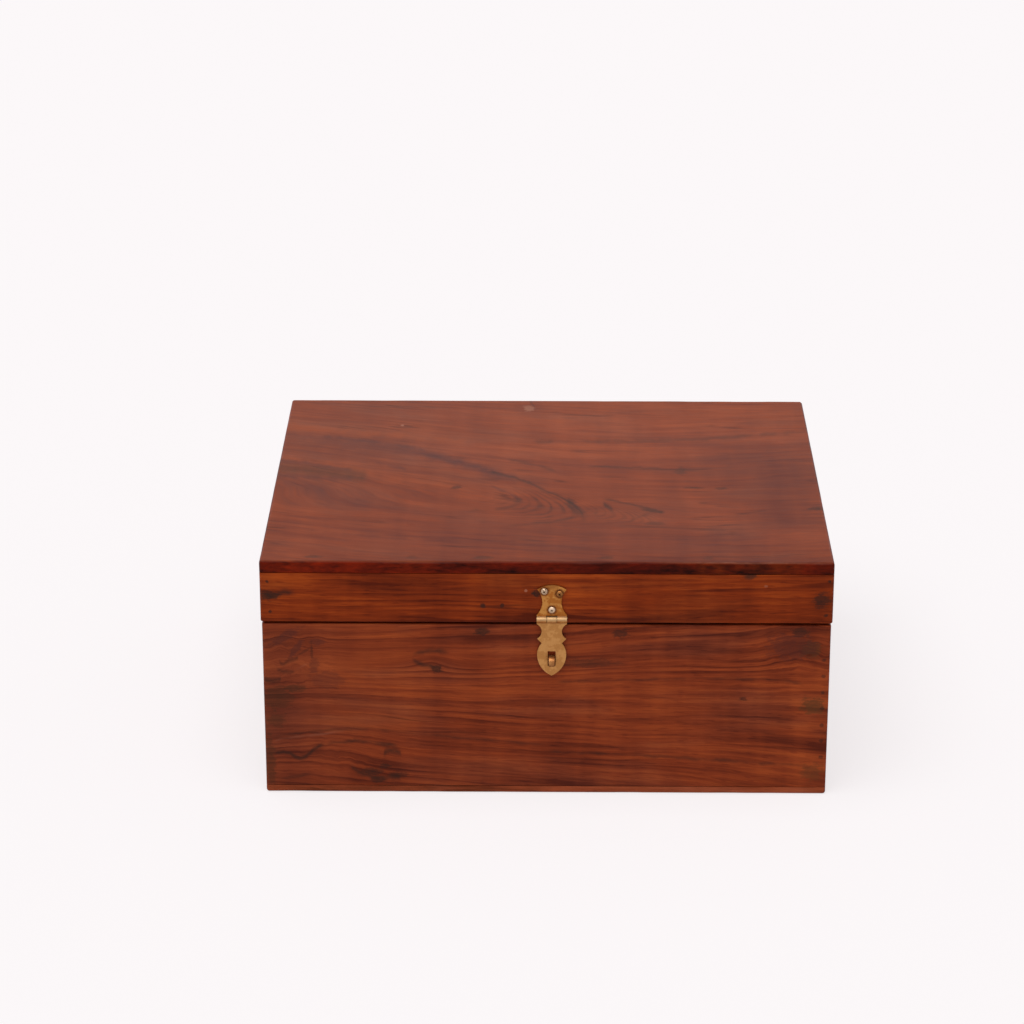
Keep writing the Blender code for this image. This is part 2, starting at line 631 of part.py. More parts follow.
def build_hasp(body, lid, lid_axis, hasp_axis, brass, steel):
    reach = 2 * HASP_KNUCKLE_RADIUS
    third = HASP_HALF_WIDTH / 3
    wide = HASP_HALF_WIDTH + FIT_GAP
    bore_radius = HASP_PIN_RADIUS + PIN_CLEARANCE
    bore = add_cutter("hasp_bore", pin_mesh("hasp_bore", bore_radius, 4 * HASP_HALF_WIDTH, KNUCKLE_SIDES), HASP_AXIS)
    gap = FIT_GAP / 2
    for name, length, side, parent, outline, spans in (
        ("hasp_plate", HASP_PLATE_RISE, 1, lid_axis, plate_outline(), [(-third - gap, third + gap)]),
        ("hasp_strap", HASP_STRAP_LENGTH, -1, hasp_axis, strap_outline(), [(-wide, -third + gap), (third - gap, wide)]),
    ):
        rolled = prism_mesh(name, rolled_outline(length + FIT_GAP, side), "X", -wide, wide)
        piece = add_piece(name, rolled, HASP_AXIS, parent, brass)
        blank = prism_mesh(name + "_blank", outline, "Y", -reach, reach)
        boolean(piece, add_cutter(name + "_blank", blank, HASP_AXIS), "INTERSECT")
        clearing = bmesh.new()
        for low, high in spans:
            edge = side * (HASP_KNUCKLE_RADIUS + FIT_GAP)
            add_block(clearing, (low, -reach, min(edge, -side * reach)), (high, reach, max(edge, -side * reach)))
        boolean(piece, add_cutter(name + "_notch", finish_mesh(name + "_notch", clearing), HASP_AXIS))
        boolean(piece, bore)
        if name == "hasp_plate":
            plate = piece
        else:
            slot = prism_mesh("hasp_slot", slot_outline(), "Y", -reach, reach)
            boolean(piece, add_cutter("hasp_slot", slot, HASP_AXIS))
    pin = pin_mesh("hasp_pin", HASP_PIN_RADIUS, 2 * HASP_HALF_WIDTH, KNUCKLE_SIDES)
    add_piece("hasp_pin", pin, HASP_AXIS, lid_axis, steel, smooth=True)

    # A low dome sits on the plate, and its shank runs through the plate into the lid's front rail
    height, width = HASP_SCREW_HEAD_HEIGHT, HASP_SCREW_HEAD_RADIUS
    dome = [(width * math.sin(turn), height * math.cos(turn)) for turn in (0, 0.45, 0.9, 1.3)]
    shank = [
        (width, 0),
        (HASP_SCREW_RADIUS, 0),
        (HASP_SCREW_RADIUS, -HASP_SCREW_LENGTH + 2 * HASP_SCREW_RADIUS),
        (0, -HASP_SCREW_LENGTH),
    ]
    seat = HASP_FRONT - FIT_GAP
    places = [
        (f"hasp_screw_{side}", Vector((HASP_AXIS.x + offset, seat, HASP_AXIS.z + rise)), FRONT)
        for side, offset, rise in (
            ("left", -HASP_SCREW_SPREAD, HASP_SCREW_LEFT_RISE),
            ("right", HASP_SCREW_SPREAD, HASP_SCREW_RIGHT_RISE),
            ("lower", 0, HASP_SCREW_LOWER_RISE),
        )
    ]
    mesh = turned_mesh("hasp_screw", [(dome + shank, (0, 0, 0), UP)], SCREW_SIDES)
    hole_radius = HASP_SCREW_RADIUS + FIT_GAP
    bore_depth = HASP_SCREW_LENGTH + FIT_GAP
    hole = [(0, 0), (hole_radius, 0), (hole_radius, -bore_depth + HASP_SCREW_RADIUS), (0, -bore_depth)]
    for name, point, direction in places:
        screw = add_piece(name, mesh, point, lid_axis, steel)
        screw.rotation_mode = "QUATERNION"
        screw.rotation_quaternion = UP.rotation_difference(direction)
    bores = [(hole, point, direction) for name, point, direction in places]
    cutter = add_cutter("hasp_screw_holes", turned_mesh("hasp_screw_holes", bores, SCREW_SIDES))
    boolean(plate, cutter)
    boolean(lid["lid_front_rail"], cutter)

    nose = STAPLE_HEIGHT / 2
    drop = HASP_SLOT_BOTTOM - STAPLE_SLOT_CLEARANCE - nose
    centre = Vector((HASP_AXIS.x, -HALF_DEPTH - STAPLE_REACH + nose, HASP_AXIS.z - drop))
    half = STAPLE_WIDTH / 2
    staple = prism_mesh("hasp_staple", staple_outline(), "X", -half, half)
    add_piece("hasp_staple", staple, centre, None, brass)
    leg_start, leg_end = STAPLE_REACH - nose - FIT_GAP, STAPLE_REACH - nose + STAPLE_LEG + FIT_GAP
    legs = bmesh.new()
    for z_sign in (-1, 1):
        inner, outer = z_sign * (nose - STAPLE_STRIP - FIT_GAP), z_sign * (nose + FIT_GAP)
        add_block(
            legs,
            (-half - FIT_GAP, leg_start, min(inner, outer)),
            (half + FIT_GAP, leg_end, max(inner, outer)),
        )
    boolean(body["front_board"], add_cutter("staple_holes", finish_mesh("staple_holes", legs), centre))


def main():
    clear_scene()
    wood = make_material("stained_wood", (0.16, 0.03, 0.012), 0.45)
    bottom_wood = make_material("bottom_wood", (0.2, 0.06, 0.025), 0.55)
    brass = make_material("hasp_brass", (0.4, 0.18, 0.055), 0.4, 1.0)
    hinge_brass = make_material("hinge_brass", (0.45, 0.24, 0.08), 0.35, 1.0)
    steel = make_material("screw_steel", (0.45, 0.43, 0.4), 0.35, 1.0)
    iron = make_material("nail_iron", (0.06, 0.035, 0.022), 0.6, 0.8)

    lid_axis = make_axis("lid_axis", LID_AXIS)
    hasp_axis = make_axis("hasp_axis", HASP_AXIS, lid_axis)
    body = build_body(wood, bottom_wood)
    lid = build_lid(lid_axis, wood)
    build_hinges(body, lid, lid_axis, hinge_brass, steel)
    build_hasp(body, lid, lid_axis, hasp_axis, brass, steel)
    build_nails(body, lid, lid_axis, iron)


main()
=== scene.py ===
"""Looks of a stained wooden jewellery box with a brass hasp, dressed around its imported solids.

Metres, +Z up, front towards -Y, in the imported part's own frame.
"""

import itertools
import json
import logging
import math
from collections.abc import Iterable, Mapping, Sequence
from dataclasses import dataclass, replace
from enum import Enum

import bmesh
import bpy
from mathutils import Matrix, Vector, noise

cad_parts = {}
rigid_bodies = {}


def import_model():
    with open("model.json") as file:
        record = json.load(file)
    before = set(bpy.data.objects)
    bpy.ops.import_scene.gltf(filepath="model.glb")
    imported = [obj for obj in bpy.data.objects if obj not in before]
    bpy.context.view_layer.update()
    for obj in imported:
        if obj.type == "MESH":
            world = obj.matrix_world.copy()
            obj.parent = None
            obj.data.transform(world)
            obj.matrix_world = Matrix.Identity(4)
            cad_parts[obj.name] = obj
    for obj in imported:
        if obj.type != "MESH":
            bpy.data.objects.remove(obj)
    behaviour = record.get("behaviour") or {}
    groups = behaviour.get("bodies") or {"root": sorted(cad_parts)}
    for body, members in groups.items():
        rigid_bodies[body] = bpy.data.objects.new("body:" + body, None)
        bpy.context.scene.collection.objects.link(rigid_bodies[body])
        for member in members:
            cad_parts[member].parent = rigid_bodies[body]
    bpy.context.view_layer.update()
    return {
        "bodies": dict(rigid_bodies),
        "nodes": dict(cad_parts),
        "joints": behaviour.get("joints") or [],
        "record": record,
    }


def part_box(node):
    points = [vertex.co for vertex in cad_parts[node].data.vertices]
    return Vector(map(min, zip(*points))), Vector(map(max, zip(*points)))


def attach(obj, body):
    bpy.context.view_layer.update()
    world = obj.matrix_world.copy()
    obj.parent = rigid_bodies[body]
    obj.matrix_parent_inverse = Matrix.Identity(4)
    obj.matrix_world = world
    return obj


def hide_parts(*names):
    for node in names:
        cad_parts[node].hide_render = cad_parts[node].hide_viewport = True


LOG = logging.getLogger("jewellery_box")
SIDES = ("left", "right")
FRONTWARD, BACKWARD = Vector((0, -1, 0)), Vector((0, 1, 0))
UPWARD, DOWNWARD = Vector((0, 0, 1)), Vector((0, 0, -1))

# Distances under which points of a mesh count as one, in metres.
SLIVER = 2e-6
WELD = 1e-6
SPIN_WELD = 1e-7

# Angles from which an edge stays sharp, in degrees.
METAL_CREASE = 32.0
TURNED_CREASE = 40.0
BOARD_CREASE = 50.0
FLAT_ANGLE = 1.0

Colour = tuple[float, float, float]
Point = tuple[float, float, float]
Flat = tuple[float, float]
Places = tuple[Flat, ...]
Operand = "Value | float"


class Value:
    """A shader socket with operators that add Math nodes."""

    def __init__(self, graph: "Graph", socket: bpy.types.NodeSocket) -> None:
        """Wraps a socket of a graph."""
        self.graph = graph
        self.socket = socket

    def __add__(self, other: Operand) -> "Value":
        """This value plus another."""
        return self.graph.math("ADD", self, other)

    def __radd__(self, other: float) -> "Value":
        """A number plus this value."""
        return self.graph.math("ADD", other, self)

    def __sub__(self, other: Operand) -> "Value":
        """This value less another."""
        return self.graph.math("SUBTRACT", self, other)

    def __rsub__(self, other: float) -> "Value":
        """A number less this value."""
        return self.graph.math("SUBTRACT", other, self)

    def __mul__(self, other: Operand) -> "Value":
        """This value times another."""
        return self.graph.math("MULTIPLY", self, other)

    def __truediv__(self, other: Operand) -> "Value":
        """This value over another."""
        return self.graph.math("DIVIDE", self, other)

    def __abs__(self) -> "Value":
        """The size of this value."""
        return self.graph.math("ABSOLUTE", self)

    def root(self) -> "Value":
        """The square root of this value, zero below zero."""
        return self.graph.math("SQRT", self.at_least(0.0))

    def fraction(self) -> "Value":
        """What this value has beyond its whole number."""
        return self.graph.math("FRACT", self)

    def at_least(self, floor: Operand) -> "Value":
        """The larger of this value and another."""
        return self.graph.math("MAXIMUM", self, floor)

    def at_most(self, ceiling: Operand) -> "Value":
        """The smaller of this value and another."""
        return self.graph.math("MINIMUM", self, ceiling)

    def step(self, low: float, high: float) -> "Value":
        """A smooth step of this value.

        Args:
            low: Where the step is 0.
            high: Where the step is 1, which may lie below low.

        Returns:
            A value from 0 to 1.
        """
        return self.graph.node(
            "ShaderNodeMapRange",
            {"interpolation_type": "SMOOTHSTEP"},
            {"Value": self, "From Min": low, "From Max": high},
        )


class Graph:
    """The node tree of one material."""

    def __init__(self, tree: bpy.types.NodeTree) -> None:
        """Takes the tree that the nodes go into."""
        self.tree = tree

    def node(
        self,
        kind: str,
        settings: Mapping[str, object] | None = None,
        inputs: Mapping[str | int, object] | None = None,
        output: str | int = 0,
    ) -> Value:
        """Adds a node.

        Args:
            kind: The node's type name.
            settings: Its properties, set first; stops are a ramp's (place, colour) pairs,
                and a curve is a Float Curve's (place, height) pairs.
            inputs: Values or links for its sockets, by name or index.
            output: The socket to return.

        Returns:
            The wrapped output socket.
        """
        made = self.tree.nodes.new(kind)
        for key, setting in (settings or {}).items():
            if key == "stops":
                self._set_stops(made.color_ramp, setting)
            elif key == "curve":
                self._set_curve(made.mapping, setting)
            else:
                setattr(made, key, setting)
        for key, given in (inputs or {}).items():
            self.connect(made.inputs[key], given)
        return Value(self, made.outputs[output])

    @staticmethod
    def _set_stops(ramp: bpy.types.ColorRamp, stops: Sequence[tuple[float, Colour]]) -> None:
        """Gives a colour ramp its stops.

        Args:
            ramp: The ramp.
            stops: Places and colours, in order.
        """
        while len(ramp.elements) < len(stops):
            ramp.elements.new(1.0)
        for element, (place, colour) in zip(ramp.elements, stops):
            element.position = place
            element.color = (*colour, 1.0)

    @staticmethod
    def _set_curve(mapping: bpy.types.CurveMapping, points: Sequence[Flat]) -> None:
        """Gives a float curve its points.

        Args:
            mapping: The curve's mapping.
            points: Places and heights, in order.
        """
        curve = mapping.curves[0]
        for point, place in zip(curve.points, (points[0], points[-1])):
            point.location = place
        for place in points[1:-1]:
            curve.points.new(*place)
        mapping.update()

    def connect(self, socket: bpy.types.NodeSocket, given: object) -> None:
        """Links a value to a socket, or sets a plain one on it.

        Args:
            socket: The socket.
            given: A value to link, or a number, vector or colour.
        """
        if isinstance(given, Value):
            self.tree.links.new(given.socket, socket)
        elif socket.type == "RGBA":
            socket.default_value = (*given, 1.0)
        else:
            socket.default_value = given

    def math(self, operation: str, *operands: Operand) -> Value:
        """Adds a Math node on its operands."""
        return self.node("ShaderNodeMath", {"operation": operation}, dict(enumerate(operands)))

    def axes(self) -> dict[str, Value]:
        """Splits the object coordinates.

        Returns:
            The three values, by letter.
        """
        place = self.node("ShaderNodeTexCoord", output="Object")
        split = self.node("ShaderNodeSeparateXYZ", inputs={"Vector": place})
        outputs = split.socket.node.outputs
        return {letter: Value(self, outputs[letter.upper()]) for letter in "xyz"}

    def pair(self, first: Operand, second: Operand) -> Value:
        """Two values as a flat vector."""
        return self.node("ShaderNodeCombineXYZ", inputs={"X": first, "Y": second})

    def vector(self, operation: str, *operands: object, output: str | int = 0) -> Value:
        """Adds a Vector Math node on its operands."""
        return self.node(
            "ShaderNodeVectorMath", {"operation": operation}, dict(enumerate(operands)), output
        )

    def _oval(self, place: Value, middle: Flat, reach: Flat) -> Value:
        """Measures a flat place from an oval's middle.

        Args:
            place: The place.
            middle: The oval's middle.
            reach: How far it reaches each way.

        Returns:
            The place in shares of the reach.
        """
        shares = [1.0 / size for size in reach]
        start = [-at * share for at, share in zip(middle, shares)]
        return self.vector("MULTIPLY_ADD", place, (*shares, 0.0), (*start, 0.0))

    def away(self, place: Value, middle: Flat, reach: Flat) -> Value:
        """How far a flat place lies from an oval's middle: 1 on the oval."""
        return self.vector("LENGTH", self._oval(place, middle, reach), output="Value")

    def hill(self, place: Value, middle: Flat, reach: Flat) -> Value:
        """A smooth hill with no edge: 1 at an oval's middle and about a third on the oval."""
        oval = self._oval(place, middle, reach)
        return self.math("POWER", math.exp(-1.0), self.vector("DOT_PRODUCT", oval, oval, output="Value"))

    def mix(self, factor: Operand, first: object, second: object, blend: str = "MIX") -> Value:
        """Mixes two colours.

        Args:
            factor: The share of the second.
            first: A colour or a link.
            second: A colour or a link.
            blend: The Mix node's blend type.

        Returns:
            The mixed colour.
        """
        return self.node(
            "ShaderNodeMix",
            {"data_type": "RGBA", "blend_type": blend},
            {0: factor, 6: first, 7: second},
            output=2,
        )

    def shade(self, colour: object, level: Value) -> Value:
        """A colour made darker or lighter by a level around 1."""
        grey = self.node("ShaderNodeCombineColor", inputs={"Red": level, "Green": level, "Blue": level})
        return self.mix(1.0, colour, grey, "MULTIPLY")


class Surface(Graph):
    """A material with one Principled shader."""

    def __init__(self, name: str) -> None:
        """Makes the material.

        Args:
            name: The material's name.
        """
        self.material = bpy.data.materials.new(name)
        self.material.use_nodes = True
        super().__init__(self.material.node_tree)
        self.shader = self.tree.nodes["Principled BSDF"]

    def set(self, **sockets: object) -> None:
        """Sets or links the shader's sockets, named with underscores for spaces."""
        for name, given in sockets.items():
            self.connect(self.shader.inputs[name.replace("_", " ")], given)

    def bump(self, height: Value, distance: float, strength: float = 0.3) -> None:
        """Adds a bump from a height value.

        Args:
            height: The height, from 0 to 1.
            distance: What a height of 1 stands for, in metres.
            strength: The share of it that shows.
        """
        normal = self.node(
            "ShaderNodeBump",
            inputs={"Height": height, "Distance": distance, "Strength": strength},
        )
        self.set(Normal=normal)


@dataclass(frozen=True)
class Texture:
    """A noise with its own scale in each direction.

    Attributes:
        along: How often it changes in a metre along.
        across: How often it changes across.
        through: How often it changes through.
        detail: How many octaves it has beyond the first.
        rough: How strong the finer octaves are.
        offset: Where it starts through, so that no two are alike.
    """

    along: float
    across: float
    through: float
    detail: float = 2.0
    rough: float = 0.5
    offset: float = 0.0

    def at(self, x: Value, y: Value, z: Operand) -> Value:
        """The noise at a place, about 0.5 on average.

        Args:
            x: The place along.
            y: The place across.
            z: The place through.

        Returns:
            The noise's value.
        """
        deep = z * self.through
        if self.offset != 0.0:
            deep = deep + self.offset
        place = {"X": x * self.along, "Y": y * self.across, "Z": deep}
        point = x.graph.node("ShaderNodeCombineXYZ", inputs=place)
        return x.graph.node(
            "ShaderNodeTexNoise",
            inputs={"Vector": point, "Scale": 1.0, "Detail": self.detail, "Roughness": self.rough},
        )

    def centred(self, x: Value, y: Value, z: Operand) -> Value:
        """The noise at a place less its average."""
        return self.at(x, y, z) - 0.5


# How wood varies from place to place.
SLOW_GRAIN = Texture(6.0, 14.0, 1.0, 1.0, offset=3.7)
QUICK_GRAIN = Texture(30.0, 70.0, 1.0, 1.0, offset=9.1)
CLOUDS = Texture(13.0, 24.0, 13.0)
BROAD_BANDS = Texture(3.0, 26.0, 20.0, 1.0)
BANDS = Texture(9.0, 130.0, 90.0, 3.0, 0.62)
STREAKS = Texture(26.0, 480.0, 400.0, 3.0, 0.65)
RIPPLES = Texture(64.0, 10.0, 10.0, 2.0, 0.55)
FIBRES = Texture(90.0, 1700.0, 1700.0, 2.0, 0.6)
FLECKS = Texture(130.0, 1050.0, 900.0, 1.0)
RING_SWAY = Texture(5.0, 60.0, 60.0)
RING_PATCHES = Texture(9.0, 45.0, 40.0, 1.0, offset=5.0)
LINE_RIDGES = Texture(6.0, 110.0, 80.0, offset=11.0)
LINE_PATCHES = Texture(12.0, 46.0, 1.0, 2.0, 0.6, 21.0)
DULL_PATCHES = Texture(15.0, 55.0, 20.0, 2.0, 0.6, 7.0)
RUFFLES = Texture(95.0, 120.0, 100.0, 2.0, 0.6)
BLOTS = Texture(75.0, 75.0, 260.0, 3.0, 0.68)
SLOW_BLOTS = Texture(14.0, 14.0, 30.0, 1.0)

# What frays the marks on wood.
FRAY = Texture(240.0, 380.0, 300.0, 3.0, 0.7)
BREAKS = Texture(110.0, 60.0, 1.0, 1.0)
LINE_SWAY = Texture(170.0, 40.0, 1.0, offset=4.3)

# How metal varies from place to place.
BRUSHING = Texture(5200.0, 5200.0, 320.0, 2.0, 0.6)
TARNISH_CLOUDS = Texture(230.0, 230.0, 230.0, 3.0, 0.6)
TARNISH_SPOTS = Texture(900.0, 900.0, 900.0, 3.0, 0.65)
RUST_SPOTS = Texture(1400.0, 1400.0, 1400.0, 3.0, 0.6)
SCUFFS = Texture(6000.0, 900.0, 6000.0, 2.0, 0.6)


class GrainAxis(Enum):
    """The object axes that run along, across and through a board."""

    TOP = ("x", "y", "z")
    FRONT = ("x", "z", "y")
    SIDE = ("y", "z", "x")


class MarkKind(Enum):
    """What a mark on the wood is, by its colour."""

    FILLER = (0.082, 0.033, 0.012)
    DULL_FILLER = (0.050, 0.021, 0.010)
    KNOT = (0.033, 0.0135, 0.009)
    SMUDGE = (0.060, 0.019, 0.010)
    CLOUD = (0.080, 0.020, 0.014)
    VEIN = (0.066, 0.020, 0.018)
    WARM = (0.285, 0.057, 0.0150)
    PALE = (0.420, 0.190, 0.120)


@dataclass(frozen=True)
class Spot:
    """A place on a board.

    Attributes:
        along: The place along the grain.
        across: The place across it.
        through: The place through the board.
        flat: The first two as a vector.
    """

    along: Value
    across: Value
    through: Value
    flat: Value


@dataclass(frozen=True)
class Fraying:
    """The noises that make marks look grown and not drawn.

    Attributes:
        ragged: Frays a mark's edge.
        frayed: Frays a line's edges.
        swell: Makes a line thicker and thinner, around 1.
        sway: Moves a line to and fro, around 0.
        worn: Lets a line come and go, from 0 to 1.
    """

    ragged: Value
    frayed: Value
    swell: Value
    sway: Value
    worn: Value


@dataclass(frozen=True)
class Oval:
    """An oval on a board's face.

    Attributes:
        along: Its middle along the board.
        across: Its middle across it.
        length: Its reach along.
        width: Its reach across.
    """

    along: float
    across: float
    length: float
    width: float

    def hill(self, spot: Spot) -> Value:
        """A smooth hill with no edge: 1 in the oval's middle and about a third at its rim."""
        return spot.flat.graph.hill(spot.flat, (self.along, self.across), (self.length, self.width))


@dataclass(frozen=True)
class Mark(Oval):
    """A filled nail, knot or smudge.

    Attributes:
        strength: How much it covers, from 0 to 1.
        slope: How far it climbs across for each metre along.
        kind: Its colour.
    """

    strength: float
    slope: float = 0.0
    kind: MarkKind = MarkKind.KNOT

    def mask(self, spot: Spot, fraying: Fraying) -> Value:
        """Where the mark lies.

        Args:
            spot: The place on the board.
            fraying: The noises of the board's marks.

        Returns:
            A value from 0 to its strength.
        """
        place, graph = spot.flat, spot.flat.graph
        if self.slope != 0.0:
            place = graph.pair(spot.along, spot.across - spot.along * self.slope)
        middle = (self.along, self.across - self.along * self.slope)
        away = graph.away(place, middle, (self.length, self.width))
        return (away + fraying.ragged).step(1.10, 0.55) * self.strength


@dataclass(frozen=True)
class Stroke:
    """A line of the grain, drawn through a few places from left to right.

    Attributes:
        places: Where it runs, along and across the board.
        width: Half its width.
        strength: How much it covers, from 0 to 1.
        kind: Its colour.
        fade: How far along it fades in and out, in metres.
        steady: How little it comes and goes, from 0 to 1.
    """

    places: Places
    width: float
    strength: float = 0.5
    kind: MarkKind = MarkKind.KNOT
    fade: float = 0.006
    steady: float = 0.0

    def mask(self, spot: Spot, fraying: Fraying) -> Value:
        """Where the stroke lies.

        Args:
            spot: The place on the board.
            fraying: The noises of the board's marks.

        Returns:
            A value from 0 to its strength.
        """
        first, last = self.places[0][0], self.places[-1][0]
        low, high = (pick(place[1] for place in self.places) for pick in (min, max))
        length, height = last - first, high - low
        points = [((run - first) / length, (rise - low) / height) for run, rise in self.places]
        share = (spot.along - first) / length
        line = share.graph.node("ShaderNodeFloatCurve", {"curve": points}, {"Value": share})
        stray = min(2.0 * self.width, 0.005)
        away = spot.across - low - line * height + fraying.sway * stray
        fade = min(0.45, self.fade / length)
        ends = share.step(0.0, fade) * share.step(1.0, 1.0 - fade)
        inside = abs(away) / (fraying.swell * self.width) + fraying.frayed
        worn = fraying.worn
        if self.steady != 0.0:
            worn = worn * (1.0 - self.steady) + self.steady
        return inside.step(1.7, 0.0) * ends * worn * self.strength


@dataclass(frozen=True)
class Nest(Oval):
    """Thin pointed lines nested in each other, with their tips along a slanting axis.

    Attributes:
        slope: How far the axis climbs across for each metre along.
        spread: How wide the lines open: their rise squared for each metre back from a tip.
        pitch: How far apart the tips lie.
        strength: How dark the lines are, from 0 to 1.
        kind: Their colour.
    """

    slope: float
    spread: float
    pitch: float
    strength: float
    kind: MarkKind = MarkKind.KNOT

    def mask(self, spot: Spot, fraying: Fraying) -> Value:
        """Where the lines lie.

        Args:
            spot: The place on the board.
            fraying: The noises of the board's marks.

        Returns:
            A value from 0 to their strength.
        """
        run = spot.along - self.along
        aside = spot.across - self.across - run * self.slope
        tip = run + aside * aside / self.spread
        beat = (tip / self.pitch + fraying.sway * 0.9).fraction()
        lines = abs(beat - 0.5).step(0.34, 0.06) * fraying.worn
        return lines * self.hill(spot) * self.strength


@dataclass(frozen=True)
class Eye(Oval):
    """A place that the grain flows around, as it does by a knot.

    Attributes:
        height: How far it pushes the grain across.
        stir: How far it ruffles the grain.
    """

    height: float
    stir: float = 0.0

    def push(self, spot: Spot) -> Value:
        """Pushes the grain aside.

        Args:
            spot: The place on the board.

        Returns:
            How far the grain is pushed across, in metres.
        """
        near = self.hill(spot)
        if self.stir == 0.0:
            return near * self.height
        ruffle = RUFFLES.centred(spot.along, spot.across, self.along)
        return near * (ruffle * (2.0 * self.stir) + self.height)


@dataclass(frozen=True)
class Arch:
    """Pointed arches of a plank cut near the heart, with their tips towards +along.

    Attributes:
        tip: Where the arches start to open.
        axis: The line across the board that their tips lie on.
        spread: How fast they open.
        rise: How far across the opening takes to reach its full size.
        soft: How gently they start, along the board.
        crown: The line across the board where the grain runs straight again.
    """

    tip: float
    axis: float
    spread: float
    rise: float
    soft: float
    crown: float

    def push(self, spot: Spot) -> Value:
        """Opens the grain into arches.

        Args:
            spot: The place on the board.

        Returns:
            How far the grain is pushed across, in metres.
        """
        ahead = self.tip - spot.along
        opening = ((ahead + (ahead * ahead + self.soft**2).root()) * 0.5).root() * self.spread
        fan = spot.across.step(self.axis, self.axis + self.rise)
        calm = (self.crown - spot.across) / (self.crown - self.axis - opening)
        return opening * fan * calm.at_least(0.0).at_most(1.0)


@dataclass(frozen=True)
class Fan:
    """Grain that spreads out towards +along.

    Attributes:
        level: The line across the board that stays level.
        spread: How fast the grain leaves that line, for each metre along and across.
    """

    level: float
    spread: float

    def push(self, spot: Spot) -> Value:
        """How far the grain is pushed across, in metres."""
        return (spot.across - self.level) * spot.along * self.spread


@dataclass(frozen=True)
class Glow(Oval):
    """A broad patch with no edge, where the wood is lighter, or darker where its level is below 0."""

    level: float

    def shift(self, spot: Spot) -> Value:
        """How far the wood's level is moved at a place."""
        return self.hill(spot) * self.level


@dataclass(frozen=True)
class EdgeStain:
    """A blotchy stain on a board's outer edges that multiplies its colour.

    Attributes:
        half_length: Half the board's length along the grain.
        half_width: Half its width across it.
        tint: What the colour is multiplied by.
        blotch: How far the stain varies.
        start: How far from the edge it starts.
        full: How far from the edge it has its full strength.
    """

    half_length: float
    half_width: float
    tint: Colour
    blotch: float
    start: float = 0.0012
    full: float = 0.0003

    def mask(self, spot: Spot) -> Value:
        """Finds the edges.

        Args:
            spot: The place on the board.

        Returns:
            1 on the edges and 0 away from them.
        """
        ends = abs(spot.along).step(self.half_length - self.start, self.half_length - self.full)
        sides = abs(spot.across).step(self.half_width - self.start, self.half_width - self.full)
        return ends.at_least(sides)

    def apply(self, surface: Surface, colour: Value, spot: Spot) -> Value:
        """Stains a colour.

        Args:
            surface: The material.
            colour: The board's own colour.
            spot: The place on the board.

        Returns:
            The stained colour.
        """
        mask = self.mask(spot)
        blots = BLOTS.centred(spot.along, spot.across, spot.through)
        slow = SLOW_BLOTS.centred(spot.along, spot.across, spot.through)
        stained = surface.mix(mask, colour, self.tint, "MULTIPLY")
        return surface.shade(stained, (blots * 2.2 + slow * 1.2) * mask * self.blotch + 1.0)


@dataclass(frozen=True)
class Tone:
    """The colours of a stained wood, from its dark bands to its light ones, and what dulls them."""

    dark: Colour
    middle: Colour
    light: Colour
    line: Colour = (0.040, 0.008, 0.004)
    dulling: Colour = (0.88, 1.10, 1.60)


RED_BROWN = Tone((0.086, 0.013, 0.0050), (0.202, 0.033, 0.0094), (0.320, 0.060, 0.0140))
ORANGE_BROWN = Tone((0.086, 0.010, 0.0022), (0.205, 0.0275, 0.0040), (0.345, 0.058, 0.0072))
PLANK_BROWN = Tone((0.108, 0.018, 0.0080), (0.202, 0.037, 0.0110), (0.300, 0.062, 0.0190))
PALE_BROWN = Tone((0.140, 0.050, 0.0200), (0.240, 0.085, 0.0360), (0.330, 0.130, 0.0600))


